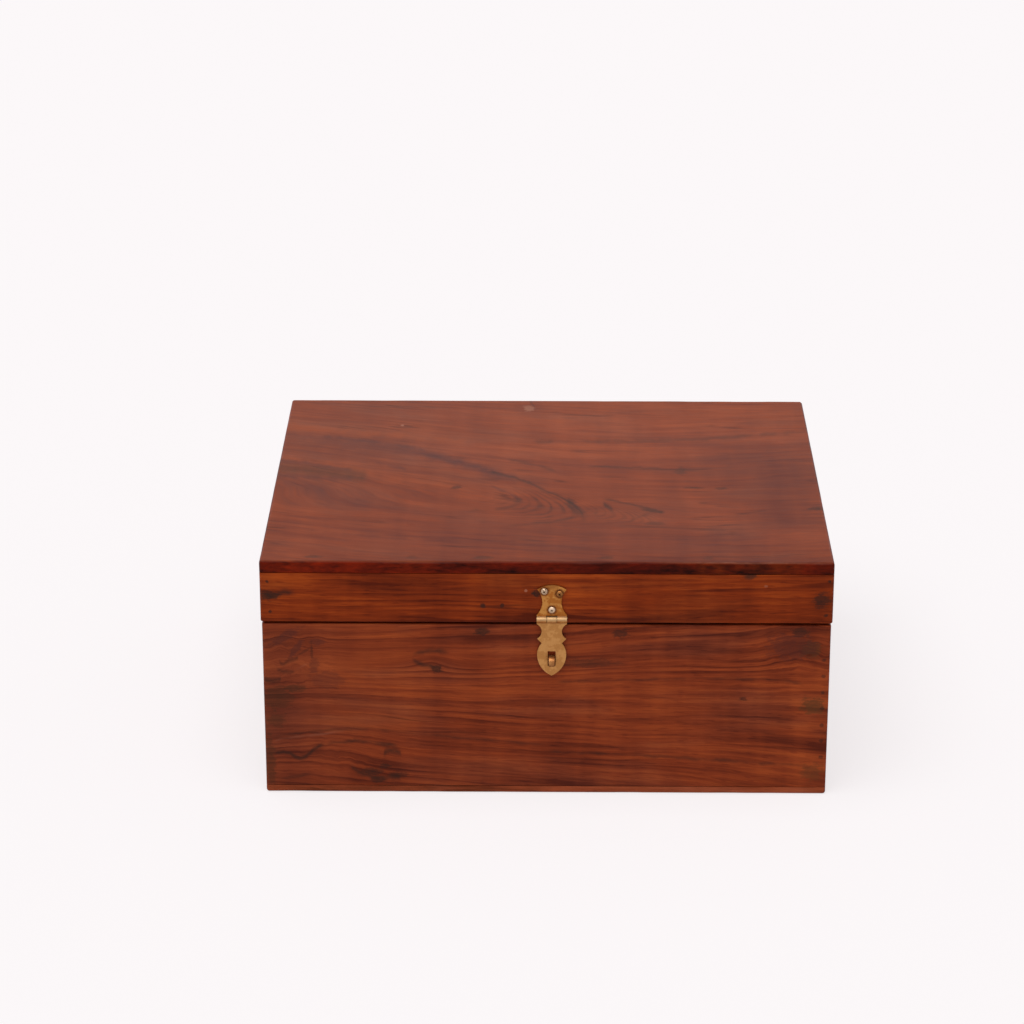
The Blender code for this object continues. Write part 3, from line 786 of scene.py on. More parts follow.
@dataclass(frozen=True)
class WoodFinish:
    """Stained and varnished wood with its own run of grain.

    Attributes:
        name: The material's name.
        grain: The axes of the board.
        tone: Its colours.
        seed: Picks another piece of the same wood.
        tilt: How far the grain climbs across for each metre along.
        bow: How far it bends away from that line, for each metre along squared.
        wander: How far the grain strays across, in metres.
        figures: What the grain flows around.
        marks: Fillers, knots, smudges and drawn lines.
        glows: Where it is lighter or darker than the rest; on the plank, two of them are painted light and
            shade.
        dulls: Where its stain has lost its red.
        edges: A stain on its outer edges.
        rings: How many growth rings lie in a metre across.
        ring_depth: How dark their edges are.
        ripple: How strong the ripples across the grain are.
        scale: How wide its bands are, as a share of the usual ones.
        haste: How soon they change along the grain, as a share of the usual.
        contrast: How strong they are, as a share of the usual ones.
        swing: How much stronger they get for each metre along.
        rough: The varnish's roughness.
        gloss: The shader's specular level.
    """

    name: str
    grain: GrainAxis
    tone: Tone
    seed: float
    tilt: float = 0.0
    bow: float = 0.0
    wander: float = 0.006
    figures: tuple[Eye | Arch | Fan, ...] = ()
    marks: tuple[Mark | Stroke | Nest, ...] = ()
    glows: tuple[Glow, ...] = ()
    dulls: tuple[Glow, ...] = ()
    edges: EdgeStain | None = None
    rings: float = 200.0
    ring_depth: float = 0.42
    ripple: float = 0.5
    scale: float = 1.0
    haste: float = 1.0
    contrast: float = 1.0
    swing: float = 0.0
    rough: float = 0.42
    gloss: float = 0.05

    def material(self) -> bpy.types.Material:
        """Builds the material.

        Returns:
            The finished material.
        """
        surface = Surface(self.name)
        axes = surface.axes()
        along, across, through = (axes[letter] for letter in self.grain.value)
        spot = Spot(along, across, through, surface.pair(along, across))
        line, run = self._grain(spot) / self.scale, along * self.haste
        depth = through / self.scale + self.seed

        broad = BROAD_BANDS.centred(run, line, depth)
        streaks = STREAKS.centred(run, line, depth)
        fibres = FIBRES.at(along, line, depth)
        flecks = FLECKS.at(along, line, depth).step(0.58, 0.72)
        level = CLOUDS.centred(along, across, depth) * 0.7 + broad * 0.8
        level = level + BANDS.centred(run, line, depth) * 1.15 + streaks * 0.9
        level = level + RIPPLES.centred(along, across, depth) * self.ripple
        level = level - self._rings(run, line, depth) * self.ring_depth - flecks * 0.14
        level = level * (along * self.swing + self.contrast) + 0.56
        for glow in self.glows:
            level = level + glow.shift(spot)
        lines = self._lines(run, across, line, depth)

        tone = self.tone
        stops = [(0.05, tone.dark), (0.5, tone.middle), (0.95, tone.light)]
        colour = surface.node("ShaderNodeValToRGB", {"stops": stops}, {"Fac": level})
        colour = surface.shade(colour, fibres * 0.5 + 0.75)
        colour = surface.mix(lines, colour, tone.line)
        dullness = DULL_PATCHES.at(along, line, depth).step(0.45, 0.75) * 0.7
        for patch in self.dulls:
            dullness = dullness + patch.shift(spot)
        colour = surface.mix(dullness, colour, tone.dulling, "MULTIPLY")
        colour = self._marked(surface, colour, spot, depth, fibres)
        if self.edges is not None:
            colour = self.edges.apply(surface, colour, spot)

        rough = self.rough + (fibres - 0.5) * 0.16 + broad * 0.12
        surface.set(Base_Color=colour, Roughness=rough, Specular_IOR_Level=self.gloss)
        surface.bump(fibres * 0.5 + streaks * 0.5 - lines * 0.4 - flecks * 0.3, 0.00012)
        return surface.material

    def _grain(self, spot: Spot) -> Value:
        """The line of grain at a place: lines of equal value are what the eye follows.

        Args:
            spot: The place on the board.

        Returns:
            The line's own place across, in metres.
        """
        along, across = spot.along, spot.across
        slow = SLOW_GRAIN.centred(along, across, self.seed)
        quick = QUICK_GRAIN.centred(along, across, self.seed)
        grain = across - along * (along * self.bow + self.tilt)
        grain = grain + slow * (2.0 * self.wander) + quick * (0.35 * self.wander)
        for figure in self.figures:
            grain = grain - figure.push(spot)
        return grain

    def _rings(self, run: Value, line: Value, depth: Value) -> Value:
        """Growth rings, which darken slowly and end in a sharp edge.

        Args:
            run: The place along the board times the finish's haste.
            line: The line of grain there.
            depth: The place through the board.

        Returns:
            A value from 0 to 1.
        """
        sway = RING_SWAY.at(run, line, depth)
        ring = (line * self.rings + sway * 4.0).fraction()
        late = ring.step(0.35, 0.92) * ring.step(1.0, 0.94)
        return late * RING_PATCHES.at(run, line, depth).step(0.36, 0.66)

    def _lines(self, run: Value, across: Value, line: Value, depth: Value) -> Value:
        """Thin dark lines that come and go along the grain.

        Args:
            run: The place along the board times the finish's haste.
            across: The place across it.
            line: The line of grain there.
            depth: The place through the board.

        Returns:
            A value from 0 to 1.
        """
        thin = abs(LINE_RIDGES.centred(run, line, depth)).step(0.026, 0.0)
        return thin * LINE_PATCHES.at(run, across, self.seed).step(0.46, 0.70) * 0.55

    def _marked(self, surface: Surface, colour: Value, spot: Spot, depth: Value, fibres: Value) -> Value:
        """Draws the marks over a colour, each over the ones before it.

        Args:
            surface: The material.
            colour: The wood's own colour.
            spot: The place on the board.
            depth: The place through the board.
            fibres: The noise of the fibres.

        Returns:
            The colour with its marks.
        """
        fray = FRAY.at(spot.along, spot.across, depth)
        breaks = BREAKS.at(spot.along, spot.across, self.seed)
        ragged = (fray - 0.5) * 2.2 + (fibres - 0.5) * 0.7
        fraying = Fraying(
            ragged=ragged,
            frayed=ragged * 0.7,
            swell=breaks + 0.5,
            sway=LINE_SWAY.centred(spot.along, spot.across, self.seed),
            worn=breaks.step(0.30, 0.62) * 0.65 + 0.35,
        )
        cover = fray * 1.6 + 0.2
        for mark in self.marks:
            colour = surface.mix(mark.mask(spot, fraying) * cover, colour, mark.kind.value)
        return colour


def marks(kind: MarkKind, *rows: tuple[float, ...]) -> tuple[Mark, ...]:
    """Marks of one kind.

    Args:
        kind: What they are.
        rows: The numbers of each mark, in the order of its fields.

    Returns:
        The marks.
    """
    return tuple(Mark(*row, kind=kind) for row in rows)


FRONT_FILLERS = marks(
    MarkKind.FILLER,
    (0.1425, 0.0863, 0.0070, 0.0056, 0.50),
    (0.1440, 0.0530, 0.0072, 0.0056, 0.70),
    (0.1448, 0.0132, 0.0070, 0.0056, 0.48),
) + marks(
    MarkKind.DULL_FILLER,
    (-0.1450, 0.0567, 0.0095, 0.0075, 0.45),
    (-0.1360, 0.0622, 0.0065, 0.0028, 0.55),
    (-0.1465, 0.0430, 0.0060, 0.0050, 0.45),
    (-0.1498, 0.0185, 0.0034, 0.0180, 0.50),
)
FRONT_KNOTS = (
    *marks(
        MarkKind.KNOT,
        (-0.0345, 0.0958, 0.0046, 0.0026, 0.75),
        (-0.0587, 0.0740, 0.0038, 0.0026, 0.75),
        (0.0400, 0.0950, 0.0052, 0.0030, 0.65),
        (0.1358, 0.0960, 0.0056, 0.0028, 0.65),
    ),
    Mark(0.1320, 0.0880, 0.0150, 0.0085, 0.52, kind=MarkKind.CLOUD),
    Mark(0.0230, 0.0780, 0.0170, 0.0030, 0.50, kind=MarkKind.SMUDGE),
    Mark(0.1060, 0.0570, 0.0026, 0.0013, 0.60),
)
BURL = (
    *marks(
        MarkKind.CLOUD,
        (-0.1398, 0.0928, 0.0092, 0.0034, 0.58, 0.5),
        (-0.1345, 0.0855, 0.0052, 0.0032, 0.62, 1.1),
        (-0.1225, 0.0895, 0.0050, 0.0024, 0.45),
        (-0.1250, 0.0760, 0.0032, 0.0050, 0.40),
        (-0.1180, 0.0675, 0.0100, 0.0060, 0.36),
    ),
    Mark(-0.1260, 0.0845, 0.0010, 0.0050, 0.44),
    Mark(-0.1300, 0.0838, 0.0042, 0.0010, 0.36, 0.6),
    Stroke(
        ((-0.1440, 0.0840), (-0.1430, 0.0768), (-0.1380, 0.0785), (-0.1330, 0.0806)),
        0.0013, 0.6, fade=0.001, steady=0.6,
    ),
    Stroke(((-0.1458, 0.0748), (-0.1420, 0.0724), (-0.1350, 0.0720)), 0.0014, 0.6, fade=0.002, steady=0.6),
    Stroke(((-0.1374, 0.0715), (-0.1325, 0.0745), (-0.1271, 0.0774)), 0.0007, 0.12, MarkKind.PALE),
    Stroke(
        ((-0.1522, 0.0700), (-0.1490, 0.0667), (-0.1455, 0.0668), (-0.1425, 0.0688)),
        0.0016, 0.7, fade=0.001, steady=0.6,
    ),
)
CROTCH = (
    Stroke(
        (
            (-0.1490, 0.0214), (-0.1456, 0.0238), (-0.1402, 0.0238), (-0.1359, 0.0214),
            (-0.1326, 0.0208), (-0.1288, 0.0233), (-0.1249, 0.0263), (-0.1194, 0.0287),
        ),
        0.0014, 0.80, fade=0.004, steady=0.8,
    ),
    Stroke(
        ((-0.1210, 0.0283), (-0.1129, 0.0300), (-0.1036, 0.0306), (-0.0944, 0.0300), (-0.0782, 0.0265)),
        0.0011, 0.70, steady=0.4,
    ),
    Stroke(
        ((-0.0885, 0.0217), (-0.0863, 0.0247), (-0.0825, 0.0247), (-0.0782, 0.0217)),
        0.0016, 0.65, fade=0.001, steady=0.6,
    ),
    Stroke(
        ((-0.1066, 0.0155), (-0.1028, 0.0132), (-0.0980, 0.0108), (-0.0914, 0.0090), (-0.0784, 0.0098)),
        0.0016, 0.7, fade=0.002, steady=0.6,
    ),
    *marks(
        MarkKind.KNOT,
        (-0.0947, 0.0126, 0.0070, 0.0024, 0.60),
        (-0.0915, 0.0078, 0.0046, 0.0024, 0.60),
        (-0.0870, 0.0162, 0.0034, 0.0016, 0.55),
        (-0.0800, 0.0108, 0.0060, 0.0020, 0.50),
    ),
    Stroke(((-0.1477, 0.0075), (-0.1340, 0.0100), (-0.1258, 0.0118)), 0.0009, 0.4),
    Stroke(
        ((-0.1498, 0.0298), (-0.1416, 0.0322), (-0.1226, 0.0347), (-0.1079, 0.0372)),
        0.0007, 0.12, MarkKind.PALE,
    ),
)
FRONT_LINES = (
    Stroke(
        ((-0.151, 0.0320), (-0.124, 0.0365), (-0.101, 0.0380), (-0.079, 0.0360), (0.0, 0.029)),
        0.0009, 0.4,
    ),
    Stroke(((0.0, 0.0250), (0.040, 0.0235), (0.084, 0.0210), (0.146, 0.0165)), 0.0010, 0.5),
    Stroke(((0.004, 0.0665), (0.050, 0.0680), (0.104, 0.0690), (0.140, 0.0635)), 0.0008, 0.45),
    Stroke(((-0.0730, 0.0805), (-0.0620, 0.0845), (-0.0510, 0.0830)), 0.0013, 0.65),
    Stroke(((-0.0730, 0.0800), (-0.0660, 0.0765), (-0.0580, 0.0745)), 0.0013, 0.7, fade=0.003),
)
PIN_FOOT, PIN_PITCH, PIN_COUNT = 0.0225, 0.0096, 7
FRONT_PINS = tuple(
    Mark(0.1492, PIN_FOOT + PIN_PITCH * step, 0.0013, 0.0012, 0.6) for step in range(PIN_COUNT)
)
FRONT_WOOD = WoodFinish(
    "front_wood",
    GrainAxis.FRONT,
    RED_BROWN,
    2.3,
    wander=0.005,
    haste=0.7,
    swing=1.9,
    figures=(
        Fan(0.068, 1.5),
        Eye(-0.136, 0.080, 0.018, 0.017, 0.004, 0.007),
        Eye(-0.116, 0.024, 0.030, 0.016, 0.006, 0.003),
        Eye(-0.062, 0.079, 0.013, 0.006, 0.004),
        Eye(0.136, 0.088, 0.018, 0.014, 0.005, 0.003),
    ),
    marks=FRONT_FILLERS + FRONT_KNOTS + BURL + CROTCH + FRONT_LINES + FRONT_PINS,
    glows=(
        Glow(-0.1500, 0.0350, 0.0250, 0.0500, -0.12),
        Glow(0.0900, 0.0850, 0.0300, 0.0180, 0.10),
        Glow(-0.0350, 0.0500, 0.0300, 0.0180, 0.06),
        Glow(-0.0800, 0.0880, 0.0600, 0.0200, 0.08),
        Glow(0.1050, 0.0560, 0.0350, 0.0180, 0.12),
        Glow(-0.1050, 0.0120, 0.0450, 0.0150, -0.16),
        Glow(-0.0900, 0.0110, 0.0180, 0.0065, -0.22),
        Glow(-0.1400, 0.0890, 0.0170, 0.0130, -0.10),
        Glow(-0.0700, 0.0500, 0.0300, 0.0160, 0.14),
        Glow(0.0900, 0.0400, 0.0800, 0.0300, 0.10),
        Glow(0.1350, 0.0330, 0.0200, 0.0160, 0.20),
        Glow(0.1200, 0.0120, 0.0400, 0.0120, 0.06),
        Glow(0.1400, 0.0920, 0.0200, 0.0130, -0.24),
    ),
    dulls=(Glow(-0.1500, 0.0500, 0.0400, 0.0600, 0.8),),
)

PLANK_KNOTS = (
    Mark(-0.0108, 0.1130, 0.0036, 0.0056, 0.36, kind=MarkKind.PALE),
    Mark(-0.0850, 0.0830, 0.0014, 0.0016, 0.45, kind=MarkKind.PALE),
    Mark(-0.0510, -0.0180, 0.0032, 0.0024, 0.65),
    Mark(0.0124, -0.0405, 0.0034, 0.0066, 0.32),
    Mark(-0.0165, -0.0365, 0.0040, 0.0040, 0.35),
    Mark(0.0592, -0.0714, 0.0060, 0.0034, 0.45, kind=MarkKind.SMUDGE),
    Mark(0.0762, 0.0091, 0.0036, 0.0070, 0.50, kind=MarkKind.SMUDGE),
    Mark(0.0830, -0.0170, 0.0064, 0.0018, 0.55),
    Mark(0.0980, -0.0180, 0.0040, 0.0024, 0.50),
    Mark(0.1490, -0.0480, 0.0060, 0.0036, 0.60),
)
VEIN = (
    (-0.1560, 0.0690), (-0.1124, 0.0503), (-0.0795, 0.0400),
    (-0.0525, 0.0230), (-0.0322, 0.0072), (-0.0151, -0.0052),
)
OUTER_UPPER = (VEIN[-1], (-0.0010, -0.0222), (0.0107, -0.0359), (0.0205, -0.0595))
OUTER_LOWER = ((-0.0254, -0.0767), (-0.0009, -0.0705), (0.0106, -0.0660), (0.0205, -0.0595))
INNER_UPPER = ((-0.0330, -0.0140), (-0.0234, -0.0240), (-0.0182, -0.0316), (-0.0132, -0.0400))
INNER_LOWER = ((-0.0451, -0.0531), (-0.0313, -0.0515), (-0.0203, -0.0484), (-0.0132, -0.0400))
PLANK_LINES = (
    Stroke(VEIN, 0.0085, 0.42, MarkKind.VEIN, 0.005, 0.7),
    Stroke(((-0.0800, 0.0405), *VEIN[3:]), 0.0046, 0.54, MarkKind.VEIN, 0.016, 0.8),
    Stroke(((-0.1330, 0.0640), (-0.1000, 0.0540), (-0.0672, 0.0400)), 0.0026, 0.45, MarkKind.VEIN),
    Stroke((VEIN[-2], *OUTER_UPPER), 0.0022, 0.56, fade=0.002, steady=0.5),
    Stroke(OUTER_UPPER[2:] + ((0.0215, -0.0620),), 0.0080, 0.55, fade=0.002, steady=0.4),
    Stroke(OUTER_LOWER, 0.0020, 0.45, fade=0.010, steady=0.4),
    Stroke(INNER_UPPER, 0.0026, 0.50, MarkKind.VEIN, 0.004, 0.6),
    Stroke(INNER_LOWER, 0.0020, 0.40, fade=0.008),
    Nest(0.0000, -0.0470, 0.0240, 0.0240, -0.58, 0.026, 0.0062, 0.55),
    Nest(0.0400, -0.0600, 0.0170, 0.0130, -0.50, 0.012, 0.0050, 0.48),
    Stroke(((0.0305, -0.0420), (0.0340, -0.0470), (0.0375, -0.0530)), 0.0034, 0.75, fade=0.002),
    Stroke(
        ((0.0296, -0.0342), (0.0390, -0.0387), (0.0472, -0.0432), (0.0660, -0.0552)), 0.0018, 0.55, steady=0.8
    ),
    Stroke(((0.0500, -0.0475), (0.0570, -0.0521), (0.0660, -0.0552)), 0.0022, 0.65, fade=0.003),
    Stroke(((0.0440, -0.0701), (0.0512, -0.0611), (0.0590, -0.0535)), 0.0022, 0.42),
    Stroke(((0.0218, 0.0158), (0.0474, 0.0144), (0.0680, 0.0118)), 0.0020, 0.50, steady=0.7),
    Stroke(((-0.0240, 0.0282), (-0.0096, 0.0203), (0.0007, 0.0123), (0.0085, 0.0035)), 0.0024, 0.36),
    Stroke(((-0.0100, 0.0560), (0.0690, 0.0590), (0.1250, 0.0690), (0.1560, 0.0765)), 0.0030, 0.40),
    Stroke(
        ((-0.1560, 0.0790), (-0.1210, 0.0735), (-0.0960, 0.0670), (-0.0450, 0.0545)),
        0.0055, 0.55, MarkKind.WARM,
    ),
    Stroke(
        ((-0.1560, 0.0300), (-0.1300, 0.0205), (-0.1110, 0.0110), (-0.0880, -0.0045), (-0.0480, -0.0135)),
        0.0042, 0.5, MarkKind.WARM,
    ),
    Stroke(((-0.1280, -0.0820), (-0.0960, -0.0890), (-0.0620, -0.0975)), 0.0024, 0.4, MarkKind.WARM),
    Stroke(
        ((-0.1560, 0.0135), (-0.1290, 0.0060), (-0.1090, 0.0000), (-0.1000, -0.0020)),
        0.0095, 0.50, MarkKind.DULL_FILLER, 0.005, 0.7,
    ),
    Stroke(
        ((-0.1560, 0.0265), (-0.1290, 0.0155), (-0.1090, 0.0075)),
        0.0026, 0.45, MarkKind.VEIN, 0.004, 0.5,
    ),
    Stroke(
        ((-0.1560, 0.0015), (-0.1280, -0.0035), (-0.1080, -0.0060)),
        0.0034, 0.45, MarkKind.VEIN, 0.004, 0.5,
    ),
    Stroke(((-0.1560, -0.0165), (-0.1350, -0.0205), (-0.1210, -0.0265)), 0.0070, 0.26, MarkKind.VEIN),
    Stroke(((-0.1000, 0.0215), (-0.0870, 0.0150), (-0.0790, 0.0080)), 0.0028, 0.50, MarkKind.VEIN, 0.003),
    Stroke(((-0.0105, 0.1235), (-0.0078, 0.1180), (-0.0065, 0.1060)), 0.0024, 0.6, fade=0.001),
    # Painted highlight: a pale line along the right part of the plank's front arris, standing in for the
    # light that the varnish catches there.
    Stroke(((0.0500, -0.1268), (0.1000, -0.1270), (0.1530, -0.1269)), 0.0006, 0.32, MarkKind.PALE, 0.03, 0.6),
)
PLANK_WOOD = WoodFinish(
    "plank_wood",
    GrainAxis.TOP,
    PLANK_BROWN,
    5.9,
    tilt=-0.10,
    bow=0.65,
    figures=(
        Arch(-0.0065, -0.0555, 0.10, 0.060, 0.032, 0.145),
        Eye(0.0450, -0.0540, 0.0260, 0.0150, 0.0070),
    ),
    marks=PLANK_KNOTS + PLANK_LINES,
    glows=(
        # Painted light: this broad patch lightens the back of the plank, standing in for the light and sheen
        # that fall more on the back.
        Glow(0.0300, 0.0850, 0.1200, 0.0500, 0.12),
        Glow(0.1300, 0.0060, 0.0280, 0.0330, -0.34),
        Glow(0.1260, -0.0560, 0.0180, 0.0260, -0.26),
        Glow(0.0850, 0.0050, 0.0120, 0.0300, -0.12),
        Glow(0.0000, -0.0450, 0.0240, 0.0240, -0.10),
        # Painted shade: this broad patch darkens the front of the plank, the other end of the same painted
        # fall of light.
        Glow(0.0000, -0.1000, 0.1500, 0.0350, -0.12),
        Glow(-0.1000, -0.0550, 0.0600, 0.0450, -0.09),
        Glow(0.0000, 0.0400, 0.0400, 0.0130, 0.24),
        Glow(-0.0550, -0.0250, 0.0300, 0.0200, -0.12),
        Glow(0.0800, -0.1250, 0.0900, 0.0250, -0.22),
        Glow(0.0000, -0.1290, 0.4000, 0.0060, -0.24),
        Glow(-0.1300, -0.1292, 0.0800, 0.0016, 0.60),
        Glow(0.0650, -0.1292, 0.0500, 0.0016, -0.20),
    ),
    dulls=(
        Glow(-0.1100, 0.0500, 0.0550, 0.0600, 0.7),
        Glow(0.1350, 0.0000, 0.0300, 0.0500, 0.5),
    ),
    rings=130.0,
    ring_depth=0.26,
    ripple=0.8,
    scale=1.5,
    haste=1.3,
    contrast=0.54,
    gloss=0.056,
)

FRONT_RAIL_MARKS = (
    Mark(-0.1478, 0.1168, 0.0062, 0.0036, 0.8),
    Stroke(((-0.1531, 0.1162), (-0.1475, 0.1168), (-0.1400, 0.1185), (-0.1320, 0.1187)), 0.0016, 0.7),
    *marks(
        MarkKind.KNOT,
        (-0.1489, 0.1248, 0.0011, 0.0010, 0.8),
        (-0.1478, 0.1075, 0.0011, 0.0010, 0.8),
        (0.1466, 0.1150, 0.0058, 0.0050, 0.7),
        (0.1507, 0.1260, 0.0011, 0.0010, 0.8),
        (0.1493, 0.1064, 0.0014, 0.0012, 0.8),
        (-0.0339, 0.1114, 0.0017, 0.0015, 0.8),
        (-0.0237, 0.1115, 0.0013, 0.0014, 0.8),
    ),
    Mark(-0.0109, 0.1202, 0.0011, 0.0011, 0.45, kind=MarkKind.PALE),
    Mark(0.1168, 0.1231, 0.0010, 0.0010, 0.25, kind=MarkKind.PALE),
    Mark(-0.0056, 0.1184, 0.0032, 0.0026, 0.85),
    Mark(0.1084, 0.1291, 0.0046, 0.0020, 0.8, kind=MarkKind.SMUDGE),
)
FRONT_RAIL_WOOD = WoodFinish(
    "front_rail_wood",
    GrainAxis.FRONT,
    ORANGE_BROWN,
    17.3,
    tilt=-0.01,
    wander=0.004,
    marks=FRONT_RAIL_MARKS,
    glows=(
        Glow(-0.1300, 0.1260, 0.0260, 0.0060, 0.22),
        Glow(-0.0880, 0.1270, 0.0300, 0.0048, -0.36),
        Glow(-0.0900, 0.1140, 0.0900, 0.0150, 0.08),
        Glow(0.0150, 0.1190, 0.0140, 0.0100, 0.30),
        Glow(0.0950, 0.1160, 0.0480, 0.0140, -0.15),
    ),
    ripple=0.55,
)


@dataclass(frozen=True)
class Grime:
    """Dirt that gathers on the front, round a place across and up."""

    x: float
    z: float
    radius: float
    strength: float = 0.85


@dataclass(frozen=True)
class Knuckle:
    """The barrel of a hinge along X, which hands rub bright, and whose top carries a painted highlight."""

    y: float
    z: float
    radius: float


@dataclass(frozen=True)
class BrassFinish:
    """Dull brass with patches of tarnish, rubbed at its knuckle, dirty round its screws, and with painted
    light and shade on the knuckle.

    Attributes:
        name: The material's name.
        bright: The metal where it is clean.
        dull: The metal under its dull skin.
        tarnish: The colour of the tarnish, of the dirt, and of the painted shade under the knuckle.
        rubbed: The metal where it is rubbed, laid on the knuckle's upper half only, where it is also a
            painted highlight.
        patchy: How much of it is dull in patches, from 0 to 1.
        spread: How much of it is tarnished, from 0 to 1.
        rough: Its roughness.
        knuckle: The barrel that is rubbed, painted lighter on top and darker in the crease under it.
        grime: Where dirt gathers.
    """

    name: str
    bright: Colour = (0.480, 0.235, 0.078)
    dull: Colour = (0.400, 0.182, 0.055)
    tarnish: Colour = (0.190, 0.062, 0.020)
    rubbed: Colour = (0.450, 0.300, 0.155)
    patchy: float = 0.5
    spread: float = 0.2
    rough: float = 0.42
    knuckle: Knuckle | None = None
    grime: tuple[Grime, ...] = ()

    def material(self) -> bpy.types.Material:
        """Builds the material.

        Returns:
            The finished material.
        """
        surface = Surface(self.name)
        x, y, z = surface.axes().values()
        brushed = BRUSHING.at(x, y, z)
        cloudy = TARNISH_CLOUDS.at(x, y, z)
        spots = TARNISH_SPOTS.at(x, y, z)
        middle, start = 0.62 - 0.24 * self.patchy, 0.72 - 0.4 * self.spread
        worn = (cloudy + (spots - 0.5) * 0.3).step(middle + 0.07, middle - 0.07)
        stain = (cloudy * 0.7 + spots * 0.3).step(start, start + 0.18)
        colour = surface.mix(worn, self.dull, self.bright)
        colour = surface.mix(stain, colour, self.tarnish)
        colour = surface.shade(colour, brushed * 0.3 + 0.85)
        rough = self.rough + (spots - 0.5) * 0.25 + stain * 0.18
        for dirt in self.grime:
            reach = surface.away(surface.pair(x, z), (dirt.x, dirt.z), (dirt.radius, dirt.radius))
            mask = (reach + (spots - 0.5) * 0.8).step(1.3, 0.8)
            colour = surface.mix(mask * dirt.strength, colour, self.tarnish)
            rough = rough + mask * 0.2
        if self.knuckle is not None:
            barrel = self.knuckle
            reach = surface.away(surface.pair(y, z), (barrel.y, barrel.z), (barrel.radius, barrel.radius))
            # Painted highlight: the rubbed colour goes on the barrel's upper half only, standing in for the
            # light on top as well as the rubbed metal.
            height = (z - barrel.z) / barrel.radius
            mask = reach.step(1.25, 0.95) * height.step(-0.6, 0.5)
            colour = surface.mix(mask * (spots * 0.6 + 0.6).at_most(1.0), colour, self.rubbed)
            # Grime and painted shade: a dark line in the crease under the barrel, where it meets the strap.
            crease = height.step(-0.75, -1.10) * height.step(-1.75, -1.35)
            colour = surface.mix(crease * 0.6, colour, self.tarnish)
            rough = rough + mask * 0.16
        surface.set(Base_Color=colour, Metallic=1.0, Roughness=rough)
        surface.bump(brushed * 0.5 + spots * 0.5, 0.00006)
        return surface.material


@dataclass(frozen=True)
class SteelFinish:
    """Plain steel or iron, scuffed and spotted with brown.

    Attributes:
        name: The material's name.
        clean: The metal where it is clean.
        spotted: The colour of the spots.
        spread: How much of it is spotted, from 0 to 1.
        rough: Its roughness.
    """

    name: str
    clean: Colour
    spotted: Colour
    spread: float
    rough: float

    def material(self) -> bpy.types.Material:
        """Builds the material.

        Returns:
            The finished material.
        """
        surface = Surface(self.name)
        x, y, z = surface.axes().values()
        spots = RUST_SPOTS.at(x, y, z)
        scuffs = SCUFFS.at(x, y, z)
        start = 0.75 - 0.4 * self.spread
        rust = spots.step(start, start + 0.15)
        colour = surface.mix(rust, self.clean, self.spotted)
        surface.set(
            Base_Color=surface.shade(colour, scuffs * 0.5 + 0.75),
            Metallic=1.0 - rust * 0.7,
            Roughness=self.rough + rust * 0.25 + (scuffs - 0.5) * 0.2,
        )
        surface.bump(scuffs * 0.4 + spots * 0.6, 0.00005)
        return surface.material


STAPLE_BRASS = BrassFinish("staple_brass", (0.40, 0.19, 0.068), (0.30, 0.125, 0.042), rough=0.5)
SCREW_BRASS = BrassFinish("screw_brass", (0.26, 0.11, 0.034), (0.13, 0.048, 0.015), spread=0.6)
HINGE_BRASS = BrassFinish("hinge_brass_dull", spread=0.3, rough=0.38)
DULL_STEEL = SteelFinish("dull_steel", (0.46, 0.37, 0.28), (0.16, 0.07, 0.03), 0.3, 0.34)
GILT_STEEL = SteelFinish("gilt_steel", (0.60, 0.45, 0.32), (0.20, 0.09, 0.035), 0.35, 0.50)
DIRTY_STEEL = SteelFinish("dirty_steel", (0.52, 0.38, 0.26), (0.15, 0.06, 0.022), 0.62, 0.48)
NAIL_IRON = SteelFinish("nail_iron_dark", (0.045, 0.030, 0.021), (0.042, 0.018, 0.009), 0.6, 0.6)


def add_object(name: str, shape: bmesh.types.BMesh, material: bpy.types.Material) -> bpy.types.Object:
    """Turns a shape into an object of the scene.

    Args:
        name: The object's name.
        shape: The finished shape, which is freed.
        material: Its finish.

    Returns:
        The new object.
    """
    mesh = bpy.data.meshes.new(name)
    shape.to_mesh(mesh)
    shape.free()
    mesh.materials.append(material)
    made = bpy.data.objects.new(name, mesh)
    bpy.context.scene.collection.objects.link(made)
    return made


def smooth_faces(piece: bpy.types.Object, angle: float) -> None:
    """Shades a piece smooth, with edges sharper than the angle kept.

    Args:
        piece: The object.
        angle: The angle in degrees.
    """
    piece.data.shade_smooth()
    piece.data.set_sharp_from_angle(angle=math.radians(angle))


def carve(piece: bpy.types.Object, cutter: bmesh.types.BMesh) -> None:
    """Cuts a shape out of a piece's mesh for good.

    Args:
        piece: The object to cut.
        cutter: The shape to take away, which is freed.
    """
    mesh = bpy.data.meshes.new("cutter")
    bmesh.ops.recalc_face_normals(cutter, faces=cutter.faces)
    cutter.to_mesh(mesh)
    cutter.free()
    tool = bpy.data.objects.new("cutter", mesh)
    bpy.context.scene.collection.objects.link(tool)
    modifier = piece.modifiers.new("cut", "BOOLEAN")
    modifier.operation = "DIFFERENCE"
    modifier.solver = "EXACT"
    modifier.object = tool
    bpy.context.view_layer.update()
    evaluated = piece.evaluated_get(bpy.context.evaluated_depsgraph_get())
    cut = bpy.data.meshes.new_from_object(evaluated)
    clean = bmesh.new()
    clean.from_mesh(cut)
    bmesh.ops.remove_doubles(clean, verts=clean.verts, dist=SLIVER)
    bmesh.ops.triangulate(clean, faces=[face for face in clean.faces if len(face.verts) > 4])
    bmesh.ops.dissolve_degenerate(clean, edges=clean.edges, dist=SLIVER)
    clean.to_mesh(cut)
    clean.free()
    piece.modifiers.clear()
    old = piece.data
    piece.data = cut
    bpy.data.meshes.remove(old)
    bpy.data.objects.remove(tool)
    bpy.data.meshes.remove(mesh)


